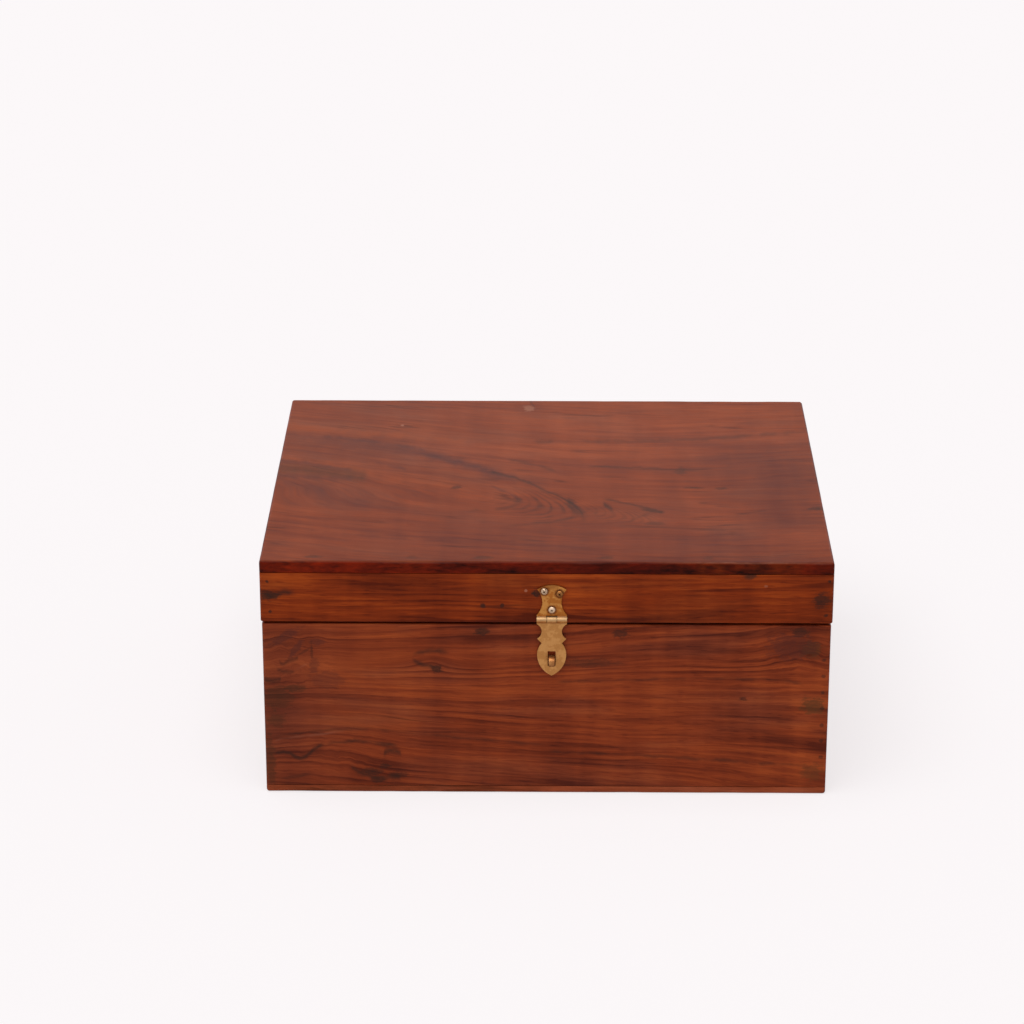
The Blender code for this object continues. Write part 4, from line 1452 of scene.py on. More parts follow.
def block(low: Vector, high: Vector) -> bmesh.types.BMesh:
    """A rectangular shape.

    Args:
        low: Its lowest corner.
        high: Its highest corner.

    Returns:
        The closed shape.
    """
    shape = bmesh.new()
    bmesh.ops.create_cube(shape, size=1.0)
    bmesh.ops.scale(shape, vec=high - low, verts=shape.verts)
    bmesh.ops.translate(shape, vec=(low + high) / 2, verts=shape.verts)
    return shape


def turned(profile: Iterable[Flat], sides: int) -> bmesh.types.BMesh:
    """A solid of revolution about Z.

    Args:
        profile: Radius and height from the top of the axis round to its foot.
        sides: How many facets it has.

    Returns:
        The closed shape.
    """
    shape = bmesh.new()
    verts = [shape.verts.new((radius, 0.0, height)) for radius, height in profile]
    edges = [shape.edges.new(pair) for pair in zip(verts, verts[1:])]
    bmesh.ops.spin(
        shape,
        geom=verts + edges,
        cent=(0, 0, 0),
        axis=(0, 0, 1),
        angle=math.tau,
        steps=sides,
        use_merge=True,
    )
    bmesh.ops.remove_doubles(shape, verts=shape.verts, dist=SPIN_WELD)
    bmesh.ops.recalc_face_normals(shape, faces=shape.faces)
    return shape


def middle_of(node: str) -> Vector:
    """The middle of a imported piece's box."""
    low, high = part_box(node)
    return (low + high) / 2


def softened_copy(
    frame: dict, node: str, material: bpy.types.Material, width: float
) -> bpy.types.Object:
    """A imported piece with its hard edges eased, standing for that piece.

    Args:
        frame: The loaded frame.
        node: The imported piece's name.
        material: Its finish.
        width: How far the edges are eased, in metres.

    Returns:
        The new object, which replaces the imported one.
    """
    shape = bmesh.new()
    shape.from_mesh(frame["nodes"][node].data)
    bmesh.ops.remove_doubles(shape, verts=shape.verts, dist=WELD)
    bmesh.ops.dissolve_limit(
        shape, angle_limit=math.radians(FLAT_ANGLE), verts=shape.verts, edges=shape.edges
    )
    crease = math.radians(METAL_CREASE)
    sharp = [edge for edge in shape.edges if edge.is_manifold and edge.calc_face_angle() > crease]
    bmesh.ops.bevel(
        shape, geom=sharp, offset=width, segments=2, profile=0.5, affect="EDGES", clamp_overlap=True
    )
    bmesh.ops.recalc_face_normals(shape, faces=shape.faces)
    piece = add_object(f"dressed_{node}", shape, material)
    smooth_faces(piece, METAL_CREASE)
    stand_for(piece, frame, node)
    return piece


def stand_for(piece: bpy.types.Object, frame: dict, node: str) -> None:
    """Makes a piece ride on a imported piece's body and take its place.

    Args:
        piece: The new object.
        frame: The loaded frame.
        node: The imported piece's name.
    """
    bodies = frame["record"]["behaviour"]["bodies"]
    body = next(name for name, members in bodies.items() if node in members)
    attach(piece, body)
    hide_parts(node)
    LOG.info("%s stands for %s on %s", piece.name, node, body)


@dataclass(frozen=True)
class Rounding:
    """How far each side of a board is rounded off at its edges, in metres."""

    left: float
    right: float
    front: float
    back: float
    foot: float
    top: float

    def low(self) -> Vector:
        """The roundings on the sides of the lowest corner."""
        return Vector((self.left, self.front, self.foot))

    def high(self) -> Vector:
        """The roundings on the sides of the highest corner."""
        return Vector((self.right, self.back, self.top))


@dataclass(frozen=True)
class Dimple:
    """A shallow hollow over a nail."""

    centre: Vector
    radius: float
    depth: float


# The depth and the radius of a hollow over a filled nail and over a bare one, and how far above the
# head it is centred.
FILLED = (0.00004, 0.0035)
BARE = (0.0005, 0.003)
NAIL_SKIN = 0.0002


def nail_dimples(nails: Iterable[str], outward: Vector, depth: float, radius: float) -> list[Dimple]:
    """The hollows over nails.

    Args:
        nails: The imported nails.
        outward: The way that their heads face.
        depth: How deep the hollows are.
        radius: How far they reach.

    Returns:
        A hollow for each nail.
    """
    hollows = []
    for nail in nails:
        low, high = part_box(nail)
        reach = abs((high - low).dot(outward)) / 2
        hollows.append(Dimple((low + high) / 2 + outward * (reach + NAIL_SKIN), radius, depth))
    return hollows


# The mesh lines of a board: clear of an eased edge, never closer than this, and where they cross a dimple.
EDGE_MARGIN = 0.0004
LEAST_CELL = 0.00004
DIMPLE_SHARES = (-1.0, -0.6, -0.25, 0.25, 0.6, 1.0)

# How often a board's hollows and worn stretches come in a metre, and where the wear starts.
HOLLOWS = 26.0
WORN_STRETCHES = 55.0
WEAR_START = Vector((7.0, 3.0, 5.0))


@dataclass
class Board:
    """A planed board with eased edges and a surface that is not quite flat.

    Attributes:
        node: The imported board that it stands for.
        rounding: Its eased edges.
        finish: Its wood.
        dimples: Hollows over its nails.
        cell: The size of its mesh cells.
        unevenness: How deep the hollows left by the plane are.
        wear: How much further its edges are worn in places.
        edge_steps: Facets of half an eased edge.
        drop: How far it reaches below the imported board, to close a glued joint.
        lift: How far it reaches above it.
    """

    node: str
    rounding: Rounding
    finish: bpy.types.Material
    dimples: Sequence[Dimple] = ()
    cell: float = 0.006
    unevenness: float = 0.00012
    wear: float = 0.0004
    edge_steps: int = 3
    drop: float = 0.0
    lift: float = 0.0

    def build(self, frame: dict) -> bpy.types.Object:
        """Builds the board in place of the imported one.

        Args:
            frame: The loaded frame.

        Returns:
            The new object.
        """
        low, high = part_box(self.node)
        low, high = low - Vector((0, 0, self.drop)), high + Vector((0, 0, self.lift))
        stations = [self._stations(low, high, axis) for axis in range(3)]
        counts = [len(places) for places in stations]
        shape = bmesh.new()
        verts: dict[tuple[int, ...], bmesh.types.BMVert] = {}
        for axis in range(3):
            first, second = (axis + 1) % 3, (axis + 2) % 3
            cells = itertools.product(
                (0, counts[axis] - 1), range(counts[first] - 1), range(counts[second] - 1)
            )
            for end, i, j in cells:
                ring = [(i, j), (i + 1, j), (i + 1, j + 1), (i, j + 1)]
                if end == 0:
                    ring.reverse()
                corners = []
                for a, b in ring:
                    key = [0, 0, 0]
                    key[axis], key[first], key[second] = end, a, b
                    crossing = tuple(key)
                    if crossing not in verts:
                        point = Vector(places[index] for places, index in zip(stations, crossing))
                        verts[crossing] = shape.verts.new(self._eased(point, low, high))
                    corners.append(verts[crossing])
                shape.faces.new(corners)
        piece = add_object(f"dressed_{self.node}", shape, self.finish)
        smooth_faces(piece, BOARD_CREASE)
        stand_for(piece, frame, self.node)
        return piece

    def _stations(self, low: Vector, high: Vector, axis: int) -> list[float]:
        """Where the mesh lines cross an axis: close at the edges and the nails, even between.

        Args:
            low: The board's lowest corner.
            high: The board's highest corner.
            axis: The axis, by its number.

        Returns:
            The places, in order.
        """
        start, end = low[axis], high[axis]
        near, far = self.rounding.low()[axis], self.rounding.high()[axis]
        turns = [math.tan(math.pi / 4 * step / self.edge_steps) for step in range(self.edge_steps + 1)]
        places = [start + near * (1 - turn) for turn in turns]
        places += [end - far * (1 - turn) for turn in turns]
        inner, outer = start + near + EDGE_MARGIN, end - far - EDGE_MARGIN
        count = max(1, round((outer - inner) / self.cell))
        places += [inner + (outer - inner) * index / count for index in range(count + 1)]
        for dimple, share in itertools.product(self.dimples, DIMPLE_SHARES):
            place = dimple.centre[axis] + share * dimple.radius
            if inner < place < outer:
                places.append(place)
        kept: list[float] = []
        for place in sorted(places):
            if not kept or place - kept[-1] > LEAST_CELL:
                kept.append(place)
        kept[0], kept[-1] = start, end
        return kept

    def _eased(self, point: Vector, low: Vector, high: Vector) -> Vector:
        """Moves a point of the plain block onto the eased, worn and uneven board.

        Args:
            point: The point.
            low: The block's lowest corner.
            high: The block's highest corner.

        Returns:
            The moved point.
        """
        near, far = self.rounding.low(), self.rounding.high()
        core, radii, lean = Vector(), Vector(), Vector()
        for axis in range(3):
            core[axis] = min(max(point[axis], low[axis] + near[axis]), high[axis] - far[axis])
            radii[axis] = near[axis] if point[axis] < core[axis] else far[axis]
            lean[axis] = (point[axis] - core[axis]) / radii[axis]
        outward = lean.normalized()
        eased = core + Vector(radii[axis] * outward[axis] for axis in range(3))
        hollow = self.unevenness * (0.5 + 0.5 * noise.noise(eased * HOLLOWS))
        edge = sorted(abs(part) for part in lean)[1]
        wear = min([self.wear, *(radius for radius, part in zip(radii, lean) if part != 0.0)])
        rubbed = wear * edge * max(0.0, noise.noise(eased * WORN_STRETCHES + WEAR_START))
        for dimple in self.dimples:
            away = (eased - dimple.centre).length / dimple.radius
            if away < 1.0:
                hollow += dimple.depth * (1.0 - away * away) ** 2
        return eased - outward * (hollow + rubbed)


@dataclass(frozen=True)
class Fastener:
    """A turned screw or nail.

    Attributes:
        node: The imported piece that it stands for.
        outward: The way that its head faces.
        finish: Its metal.
    """

    node: str
    outward: Vector
    finish: bpy.types.Material

    def _extent(self) -> Flat:
        """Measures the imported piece.

        Returns:
            Its length, and the radius of its head.
        """
        low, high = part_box(self.node)
        size = high - low
        aside = [part for part, way in zip(size, self.outward) if abs(way) < 0.5]
        return abs(size.dot(self.outward)), max(aside) / 2

    def _seat(self, piece: bpy.types.Object, turn: Matrix, frame: dict) -> None:
        """Puts a piece that was turned about Z, with its crown at the origin, in its place.

        Args:
            piece: The object.
            turn: How it is turned first.
            frame: The loaded frame.
        """
        length, _ = self._extent()
        crown = middle_of(self.node) + self.outward * (length / 2)
        face = UPWARD.rotation_difference(self.outward).to_matrix().to_4x4()
        piece.data.transform(Matrix.Translation(crown) @ face @ turn)
        smooth_faces(piece, TURNED_CREASE)
        stand_for(piece, frame, self.node)


class Recess(Enum):
    """The shape that a driver fits in a screw's head."""

    CROSS = "cross"
    SLOT = "slot"


# Sizes of a screw in shares of its head's radius. Heights of a domed head are shares of the dome.
SHANK = 0.48
DOME_TURNS = (0.0, 0.4, 0.8, 1.15, 1.4)
DOME_RIM = ((1.0, -0.92), (0.94, -1.0), (SHANK, -1.0))
SUNK_HEAD = ((0.0, 0.0), (0.93, 0.0), (1.0, -0.08), (SHANK, -0.55))
RECESS_DEPTH = 0.40
SLOT_HALF, SLOT_REACH = 0.11, 1.2
CROSS_HALF, CROSS_ARM = 0.13, 0.46

# The floor and the mouth of a cross: height in depths of the recess, and share of its outline.
CROSS_LEVELS = ((-1.6, 0.35), (0.3, 1.05))


@dataclass(frozen=True)
class Screw(Fastener):
    """A screw with a driver recess.

    Attributes:
        recess: Its driver recess.
        dome: How far its head stands out, or 0 for a flat sunk one.
        turn: How far the recess is turned, in degrees.
        sides: Facets of the head.
    """

    recess: Recess
    dome: float
    turn: float
    sides: int = 32

    def build(self, frame: dict) -> bpy.types.Object:
        """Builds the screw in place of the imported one.

        Args:
            frame: The loaded frame.

        Returns:
            The new object.
        """
        length, radius = self._extent()
        shank = SHANK * radius
        profile = [*self._head(radius), (shank, -length + 2 * shank), (0, -length)]
        piece = add_object(f"dressed_{self.node}", turned(profile, self.sides), self.finish)
        carve(piece, self._recess_shape(radius))
        self._seat(piece, Matrix.Rotation(math.radians(self.turn), 4, "Z"), frame)
        return piece

    def _head(self, radius: float) -> list[Flat]:
        """The head's outline.

        Args:
            radius: The radius of the head.

        Returns:
            Radii and heights from the middle of the crown to the shank.
        """
        if self.dome > 0:
            bow = [(math.sin(turn), math.cos(turn) - 1) for turn in DOME_TURNS]
            return [(radius * out, self.dome * height) for out, height in (*bow, *DOME_RIM)]
        return [(radius * out, radius * height) for out, height in SUNK_HEAD]

    def _recess_shape(self, radius: float) -> bmesh.types.BMesh:
        """The driver recess; a cross narrows to its floor.

        Args:
            radius: The radius of the head.

        Returns:
            The shape that is cut from the head.
        """
        depth = RECESS_DEPTH * radius
        if self.recess is Recess.SLOT:
            half = Vector((SLOT_REACH * radius, SLOT_HALF * radius, depth))
            return block(-half, half)
        arm, half = CROSS_ARM * radius, CROSS_HALF * radius
        corners = []
        for quarter in range(4):
            turn = Matrix.Rotation(quarter * math.pi / 2, 3, "Z")
            places = ((arm, -half, 0), (arm, half, 0), (half, half, 0))
            corners += [turn @ Vector(place) for place in places]
        shape = bmesh.new()
        rings = []
        for height, share in CROSS_LEVELS:
            lift = Vector((0, 0, height * depth))
            rings.append([shape.verts.new(corner * share + lift) for corner in corners])
        floor, mouth = rings
        for index, corner in enumerate(floor):
            after = (index + 1) % len(floor)
            shape.faces.new((corner, floor[after], mouth[after], mouth[index]))
        shape.faces.new(list(reversed(floor)))
        shape.faces.new(mouth)
        return shape


# A nail's outline: shares of its head's radius, and heights in metres.
NAIL_HEAD = (
    (0.0, -0.00004), (0.55, -0.00002), (0.9, -0.00008),
    (1.0, -0.0003), (0.95, -0.0008), (0.5, -0.0012),
)
NAIL_SHANK = 0.5


@dataclass(frozen=True)
class Nail(Fastener):
    """A round wire nail that was driven just below the surface.

    Attributes:
        tilt: How far it leans, in degrees.
        sides: Facets of the head.
    """

    tilt: float
    sides: int = 18

    def build(self, frame: dict) -> bpy.types.Object:
        """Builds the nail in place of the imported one.

        Args:
            frame: The loaded frame.

        Returns:
            The new object.
        """
        length, radius = self._extent()
        head = [(share * radius, height) for share, height in NAIL_HEAD]
        profile = [*head, (NAIL_SHANK * radius, -length + radius), (0, -length)]
        piece = add_object(f"dressed_{self.node}", turned(profile, self.sides), self.finish)
        self._seat(piece, Matrix.Rotation(math.radians(self.tilt), 4, "X"), frame)
        return piece


@dataclass
class Joinery:
    """What the box and its lid share.

    Attributes:
        frame: The loaded frame.
        iron: The finish of the bare nails.
        arris: How far outer edges are rounded.
        rim: How far the edges where box and lid meet are rounded.
        seam: How far glued edges are rounded.
        joint: The gap that a board closes where it is glued.
        ease: How far a hinge's seat is wider than its leaf.
        leaf: How thick a hinge's leaf is.
        mouth: How far a hinge's seat is cut beyond the board's edge.
        behind: How far it is cut beyond the board's back.
        nail_tilt: How far the nails lean to one side or the other, in degrees.
    """

    frame: dict
    iron: bpy.types.Material
    arris: float = 0.0016
    rim: float = 0.0009
    seam: float = 0.0002
    joint: float = 0.0003
    ease: float = 0.0003
    leaf: float = 0.0016
    mouth: float = 0.001
    behind: float = 0.01
    nail_tilt: float = 1.5

    def _edges(self, outer: Sequence[str], foot: float, top: float) -> Rounding:
        """The eased edges of a board.

        Args:
            outer: Which of its upright sides are outer ones; the others are glued.
            foot: The rounding at its foot.
            top: The rounding at its top.

        Returns:
            The roundings of its six sides.
        """
        left, right, front, back = (
            self.arris if side in outer else self.seam for side in ("left", "right", "front", "back")
        )
        return Rounding(left, right, front, back, foot, top)

    def _drive(self, nails: Sequence[str], outward: Vector, tilt: float) -> None:
        """Builds bare nails, which lean to one side and the other in turn.

        Args:
            nails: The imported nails.
            outward: The way that their heads face.
            tilt: How far they lean, in degrees.
        """
        for index, nail in enumerate(nails):
            Nail(nail, outward, self.iron, tilt * (-1) ** index).build(self.frame)

    def _seat_hinges(self, board: bpy.types.Object, owner: str, face: Vector) -> None:
        """Cuts the seats of the hinges' leaves out of a board's edge.

        Args:
            board: The dressed board.
            owner: What the leaves are screwed to: the box or the lid.
            face: The way that the leaves' open sides face.
        """
        for side in SIDES:
            low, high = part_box(f"{side}_hinge_{owner}_leaf")
            middle = (low.z + high.z) / 2
            floor = middle - face.z * (self.leaf + self.ease)
            roof = middle + face.z * self.mouth
            near = Vector((low.x - self.ease, low.y - self.ease, min(floor, roof)))
            far = Vector((high.x + self.ease, high.y + self.behind, max(floor, roof)))
            carve(board, block(near, far))


@dataclass
class Carcass(Joinery):
    """The lower box: four walls on a bottom board, nailed at the corners.

    Attributes:
        foot_tilt: How far the nails under the bottom lean, in degrees.
    """

    foot_tilt: float = 2.0

    def build(self) -> None:
        """Builds and dresses the walls, the bottom and their nails."""
        self._front()
        self._back()
        self._sides()
        self._bottom()

    @staticmethod
    def _corner_nails(wall: str) -> list[str]:
        """The nails at both ends of the front or the back wall."""
        return [f"{wall}_{side}_nail_{number}" for side in SIDES for number in (1, 2, 3)]

    def _front(self) -> None:
        """Dresses the front board, with its filled nails, knots and swirling grain."""
        dimples = nail_dimples(self._corner_nails("front"), FRONTWARD, *FILLED)
        edges = self._edges((*SIDES, "front"), self.seam, self.rim)
        Board("front_board", edges, FRONT_WOOD.material(), dimples).build(self.frame)

    def _back(self) -> None:
        """Dresses the back board, with the seats of the hinges and bare nails."""
        finish = WoodFinish("back_wood", GrainAxis.FRONT, RED_BROWN, 31.7, tilt=0.02).material()
        nails = self._corner_nails("back")
        edges = self._edges((*SIDES, "back"), self.seam, self.rim)
        board = Board("back_board", edges, finish, nail_dimples(nails, BACKWARD, *BARE)).build(self.frame)
        self._seat_hinges(board, "box", UPWARD)
        self._drive(nails, BACKWARD, self.nail_tilt)

    def _sides(self) -> None:
        """Dresses the two side boards."""
        for side, seed, tilt in (("left", 47.1, 0.03), ("right", 53.9, -0.02)):
            finish = WoodFinish(f"{side}_wood", GrainAxis.SIDE, RED_BROWN, seed, tilt=tilt).material()
            edges = self._edges((side,), self.seam, self.rim)
            Board(f"{side}_side_board", edges, finish).build(self.frame)

    def _bottom(self) -> None:
        """Dresses the bottom board, whose underside is only thinly stained."""
        _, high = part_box("bottom_board")
        finish = WoodFinish(
            "bottom_board_wood",
            GrainAxis.TOP,
            PALE_BROWN,
            61.3,
            wander=0.01,
            edges=EdgeStain(high.x, high.y, (1.0, 0.58, 0.48), 0.25),
            rough=0.55,
        ).material()
        nails = [f"bottom_{end}_{side}_nail" for end in ("front", "back") for side in SIDES]
        edges = self._edges((*SIDES, "front", "back"), self.arris, self.seam)
        dimples = nail_dimples(nails, DOWNWARD, *BARE)
        Board("bottom_board", edges, finish, dimples, lift=self.joint).build(self.frame)
        self._drive(nails, DOWNWARD, self.foot_tilt)


@dataclass
class Lid(Joinery):
    """The lid: a plank nailed on a frame of four rails.

    Attributes:
        plank_wear: How much further the plank's edges are worn in places.
        smudge_width: How far the smudges over the plank's front nails reach across.
    """

    plank_wear: float = 0.0007
    smudge_width: float = 0.0026

    def build(self) -> None:
        """Builds and dresses the plank, the rails and their nails."""
        self._plank()
        self._front_rail()
        self._back_rail()
        self._side_rails()

    def _plank(self) -> None:
        """Dresses the top board, with the arches of its grain and smudges over its front nails."""
        _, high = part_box("lid_top_board")
        nails = [f"top_front_nail_{number}" for number in range(1, 6)]
        sizes = ((0.0055, 0.55), (0.0030, 0.35), (0.0058, 0.60), (0.0050, 0.50), (0.0030, 0.40))
        smudges = []
        for nail, (length, strength) in zip(nails, sizes):
            place = middle_of(nail)
            smudges.append(Mark(place.x, place.y, length, self.smudge_width, strength, kind=MarkKind.SMUDGE))
        finish = replace(
            PLANK_WOOD,
            marks=(*smudges, *PLANK_WOOD.marks),
            edges=EdgeStain(high.x, high.y, (0.58, 0.19, 0.025), 1.5),
        ).material()
        edges = self._edges((*SIDES, "front", "back"), self.seam, self.arris)
        dimples = nail_dimples(nails, UPWARD, *FILLED)
        board = Board("lid_top_board", edges, finish, dimples, wear=self.plank_wear, drop=self.joint)
        board.build(self.frame)

    def _front_rail(self) -> None:
        """Dresses the rail that carries the hasp."""
        dimples = nail_dimples([f"lid_front_{side}_nail" for side in SIDES], FRONTWARD, *FILLED)
        edges = self._edges((*SIDES, "front"), self.rim, self.seam)
        Board("lid_front_rail", edges, FRONT_RAIL_WOOD.material(), dimples).build(self.frame)

    def _back_rail(self) -> None:
        """Dresses the back rail, with the seats of the hinges and bare nails."""
        finish = WoodFinish("back_rail_wood", GrainAxis.FRONT, ORANGE_BROWN, 71.9, wander=0.004).material()
        nails = [f"lid_back_{side}_nail" for side in SIDES]
        edges = self._edges((*SIDES, "back"), self.rim, self.seam)
        board = Board("lid_back_rail", edges, finish, nail_dimples(nails, BACKWARD, *BARE)).build(self.frame)
        self._seat_hinges(board, "lid", DOWNWARD)
        self._drive(nails, BACKWARD, self.nail_tilt)

    def _side_rails(self) -> None:
        """Dresses the two side rails."""
        for side, seed in (("left", 83.3), ("right", 89.1)):
            name = f"{side}_rail_wood"
            finish = WoodFinish(name, GrainAxis.SIDE, ORANGE_BROWN, seed, wander=0.004).material()
            edges = self._edges((side,), self.rim, self.seam)
            Board(f"lid_{side}_rail", edges, finish).build(self.frame)


@dataclass
class Hasp:
    """The shaped brass hasp, its pin, staple and screws.

    Attributes:
        frame: The loaded frame.
        edge: How far its edges are eased.
        dome: How far the screws' heads stand out.
        grime_width: How far dirt reaches round a screw.
        top_dirt_rise: How far above the plate the dirt along its top is centred.
        top_dirt_radius: How far that dirt reaches.
        top_dirt_strength: How much it covers.
    """

    frame: dict
    edge: float = 0.00016
    dome: float = 0.0011
    grime_width: float = 0.0007
    top_dirt_rise: float = 0.0030
    top_dirt_radius: float = 0.0052
    top_dirt_strength: float = 0.5

    def build(self) -> None:
        """Builds and dresses the hasp."""
        knuckle = self._knuckle()
        plate = BrassFinish(
            "plate_brass",
            bright=(0.470, 0.208, 0.052),
            dull=(0.340, 0.116, 0.022),
            tarnish=(0.150, 0.042, 0.012),
            patchy=0.62,
            spread=0.3,
            knuckle=knuckle,
            grime=self._grime(),
        ).material()
        strap = BrassFinish("strap_brass", knuckle=knuckle).material()
        finishes = {"plate": plate, "strap": strap, "staple": STAPLE_BRASS.material(), "pin": strap}
        for piece, finish in finishes.items():
            softened_copy(self.frame, f"hasp_{piece}", finish, self.edge)
        for place, metal, turn in (
            ("left", DIRTY_STEEL, 20.0),
            ("right", SCREW_BRASS, 62.0),
            ("lower", GILT_STEEL, 8.0),
        ):
            finish = metal.material()
            screw = Screw(f"hasp_screw_{place}", FRONTWARD, finish, Recess.CROSS, self.dome, turn)
            screw.build(self.frame)

    def _knuckle(self) -> Knuckle:
        """Finds the barrel.

        Returns:
            The barrel round the pin, as far out as the strap's front reaches.
        """
        middle = middle_of("hasp_pin")
        front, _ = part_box("hasp_strap")
        return Knuckle(middle.y, middle.z, middle.y - front.y)

    def _grime(self) -> tuple[Grime, ...]:
        """Finds where dirt gathers.

        Returns:
            Dirt along the top of the plate, and a ring of it round each screw.
        """
        _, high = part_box("hasp_plate")
        top = high.z + self.top_dirt_rise
        rings = [Grime(middle_of("hasp_plate").x, top, self.top_dirt_radius, self.top_dirt_strength)]
        for place in ("left", "right", "lower"):
            low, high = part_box(f"hasp_screw_{place}")
            middle = (low + high) / 2
            rings.append(Grime(middle.x, middle.z, (high.x - low.x) / 2 + self.grime_width))
        return tuple(rings)


@dataclass
class Hinges:
    """The two butt hinges at the back.

    Attributes:
        frame: The loaded frame.
        edge: How far their edges are eased.
        first_turn: How far the slots of the screws are turned to start with, in degrees.
        screw_turn: How much further the slot of each next screw is turned.
        lid_turn: How much further those in the lid are turned.
        sides: Facets of the screws' heads.
    """

    frame: dict
    edge: float = 0.00018
    first_turn: float = 25.0
    screw_turn: float = 47.0
    lid_turn: float = 11.0
    sides: int = 24

    def build(self) -> None:
        """Builds and dresses both hinges."""
        steel, brass = DULL_STEEL.material(), HINGE_BRASS.material()
        owners = (("box", UPWARD, 0.0), ("lid", DOWNWARD, self.lid_turn))
        for side in SIDES:
            for owner, face, further in owners:
                softened_copy(self.frame, f"{side}_hinge_{owner}_leaf", brass, self.edge)
                for number in (1, 2):
                    node = f"{side}_hinge_{owner}_screw_{number}"
                    turn = self.first_turn + self.screw_turn * number + further
                    Screw(node, face, steel, Recess.SLOT, 0.0, turn, self.sides).build(self.frame)
            softened_copy(self.frame, f"{side}_hinge_pin", steel, self.edge)


@dataclass(frozen=True)
class Lamp:
    """A broad soft lamp far from the object.

    Attributes:
        name: Its name.
        azimuth: Where it stands about the object, in degrees from the front towards the right.
        elevation: How high it stands, in degrees.
        spread: How broad it looks from the object, in degrees.
        level: Its strength.
        distance: How far away it stands.
    """

    name: str
    azimuth: float
    elevation: float
    spread: float
    level: float
    distance: float = 3.0

    def build(self) -> None:
        """Adds the lamp."""
        light = bpy.data.lights.new(self.name, "SUN")
        light.energy = self.level
        light.angle = math.radians(self.spread)
        lamp = bpy.data.objects.new(self.name, light)
        turn, rise = math.radians(self.azimuth), math.radians(self.elevation)
        level = math.cos(rise)
        away = Vector((math.sin(turn) * level, -math.cos(turn) * level, math.sin(rise)))
        lamp.location = away * self.distance
        lamp.rotation_euler = away.to_track_quat("Z", "Y").to_euler()
        bpy.context.scene.collection.objects.link(lamp)


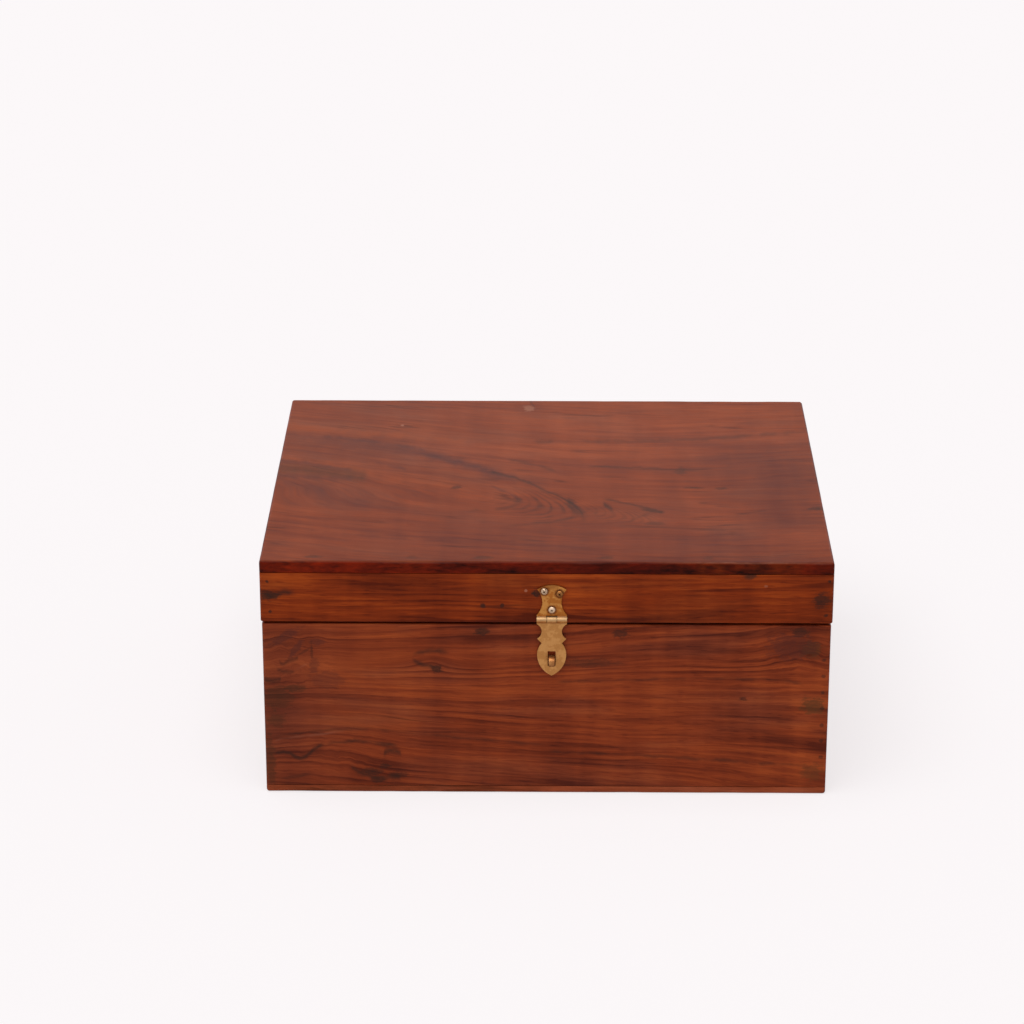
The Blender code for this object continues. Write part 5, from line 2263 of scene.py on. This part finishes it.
@dataclass
class Studio:
    """The camera, the pale floor and the soft light.

    Attributes:
        paper: The colour of the floor and the surroundings.
        camera_place: Where the camera stands.
        pitch: How far it looks down, in degrees.
        turn: How far it is turned to the left, in degrees.
        lens: Its focal length, in millimetres.
        sensor: How wide its sensor is, in millimetres.
        sight: How far it sees.
        world_level: How strongly the surroundings light the object.
        floor_glow: How much of the floor is shown as plain paper, without its shade.
        floor_size: How wide the floor is.
        lamps: The lamps.
    """

    paper: Colour = (0.965, 0.930, 0.939)
    camera_place: Point = (-0.0013, -1.8032, 0.8286)
    pitch: float = 21.599
    turn: float = 0.584
    lens: float = 120.0
    sensor: float = 36.0
    sight: float = 100.0
    world_level: float = 0.30
    floor_glow: float = 0.72
    floor_size: float = 30.0
    lamps: tuple[Lamp, ...] = (Lamp("key_lamp", -25.0, 72.0, 60.0, 2.4),)

    def build(self) -> None:
        """Sets up the view, the light and the floor."""
        scene = bpy.context.scene
        scene.view_settings.view_transform = "Standard"
        self._camera(scene)
        self._world(scene)
        self._floor()
        for lamp in self.lamps:
            lamp.build()
        LOG.info("studio ready")

    def _camera(self, scene: bpy.types.Scene) -> None:
        """Adds the camera at the photograph's angle.

        Args:
            scene: The scene that it films.
        """
        data = bpy.data.cameras.new("camera")
        data.lens = self.lens
        data.sensor_width = self.sensor
        data.sensor_fit = "HORIZONTAL"
        data.clip_end = self.sight
        camera = bpy.data.objects.new("camera", data)
        camera.location = self.camera_place
        camera.rotation_euler = (math.radians(90.0 - self.pitch), 0.0, math.radians(self.turn))
        scene.collection.objects.link(camera)
        scene.camera = camera

    @staticmethod
    def _seen_rays(graph: Graph) -> Value:
        """Finds the rays that see the paper as it is.

        Args:
            graph: The tree.

        Returns:
            1 for the camera's rays and those in metal and glass, and 0 for others.
        """
        seen = graph.node("ShaderNodeLightPath", output="Is Camera Ray")
        outputs = seen.socket.node.outputs
        for ray in ("Is Glossy Ray", "Is Transmission Ray"):
            seen = seen.at_least(Value(graph, outputs[ray]))
        return seen

    def _world(self, scene: bpy.types.Scene) -> None:
        """Makes the surroundings: soft light for the object, paper for the camera.

        Args:
            scene: The scene that they surround.
        """
        world = bpy.data.worlds.new("surroundings")
        world.use_nodes = True
        scene.world = world
        graph = Graph(world.node_tree)
        light = graph.node(
            "ShaderNodeBackground", inputs={"Color": (1.0, 1.0, 1.0), "Strength": self.world_level}
        )
        paper = graph.node("ShaderNodeBackground", inputs={"Color": self.paper, "Strength": 1.0})
        both = graph.node("ShaderNodeMixShader", inputs={0: self._seen_rays(graph), 1: light, 2: paper})
        graph.connect(graph.tree.nodes["World Output"].inputs["Surface"], both)

    def _floor(self) -> None:
        """Lays the pale floor, which keeps the object's shadow."""
        material = bpy.data.materials.new("floor_paper")
        material.use_nodes = True
        graph = Graph(material.node_tree)
        lit = graph.node("ShaderNodeBsdfDiffuse", inputs={"Color": self.paper})
        glow = graph.node("ShaderNodeEmission", inputs={"Color": self.paper, "Strength": 1.0})
        seen = self._seen_rays(graph) * self.floor_glow
        both = graph.node("ShaderNodeMixShader", inputs={0: seen, 1: lit, 2: glow})
        graph.connect(graph.tree.nodes["Material Output"].inputs["Surface"], both)
        shape = bmesh.new()
        bmesh.ops.create_grid(shape, x_segments=2, y_segments=2, size=self.floor_size / 2)
        add_object("floor", shape, material)


def dress_packed_nails(frame: dict, iron: bpy.types.Material) -> None:
    """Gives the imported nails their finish, for the filled ones that stay as they are.

    Args:
        frame: The loaded frame.
        iron: The nails' finish.
    """
    for node, packed_piece in frame["nodes"].items():
        if "_nail" in node:
            for slot in packed_piece.material_slots:
                slot.material = iron


def main() -> None:
    """Builds the studio and dresses each sub-assembly in order."""
    logging.basicConfig(level=logging.INFO)
    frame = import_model()
    iron = NAIL_IRON.material()
    Studio().build()
    dress_packed_nails(frame, iron)
    Carcass(frame, iron).build()
    Lid(frame, iron).build()
    Hinges(frame).build()
    Hasp(frame).build()


if __name__ == "__main__":
    main()
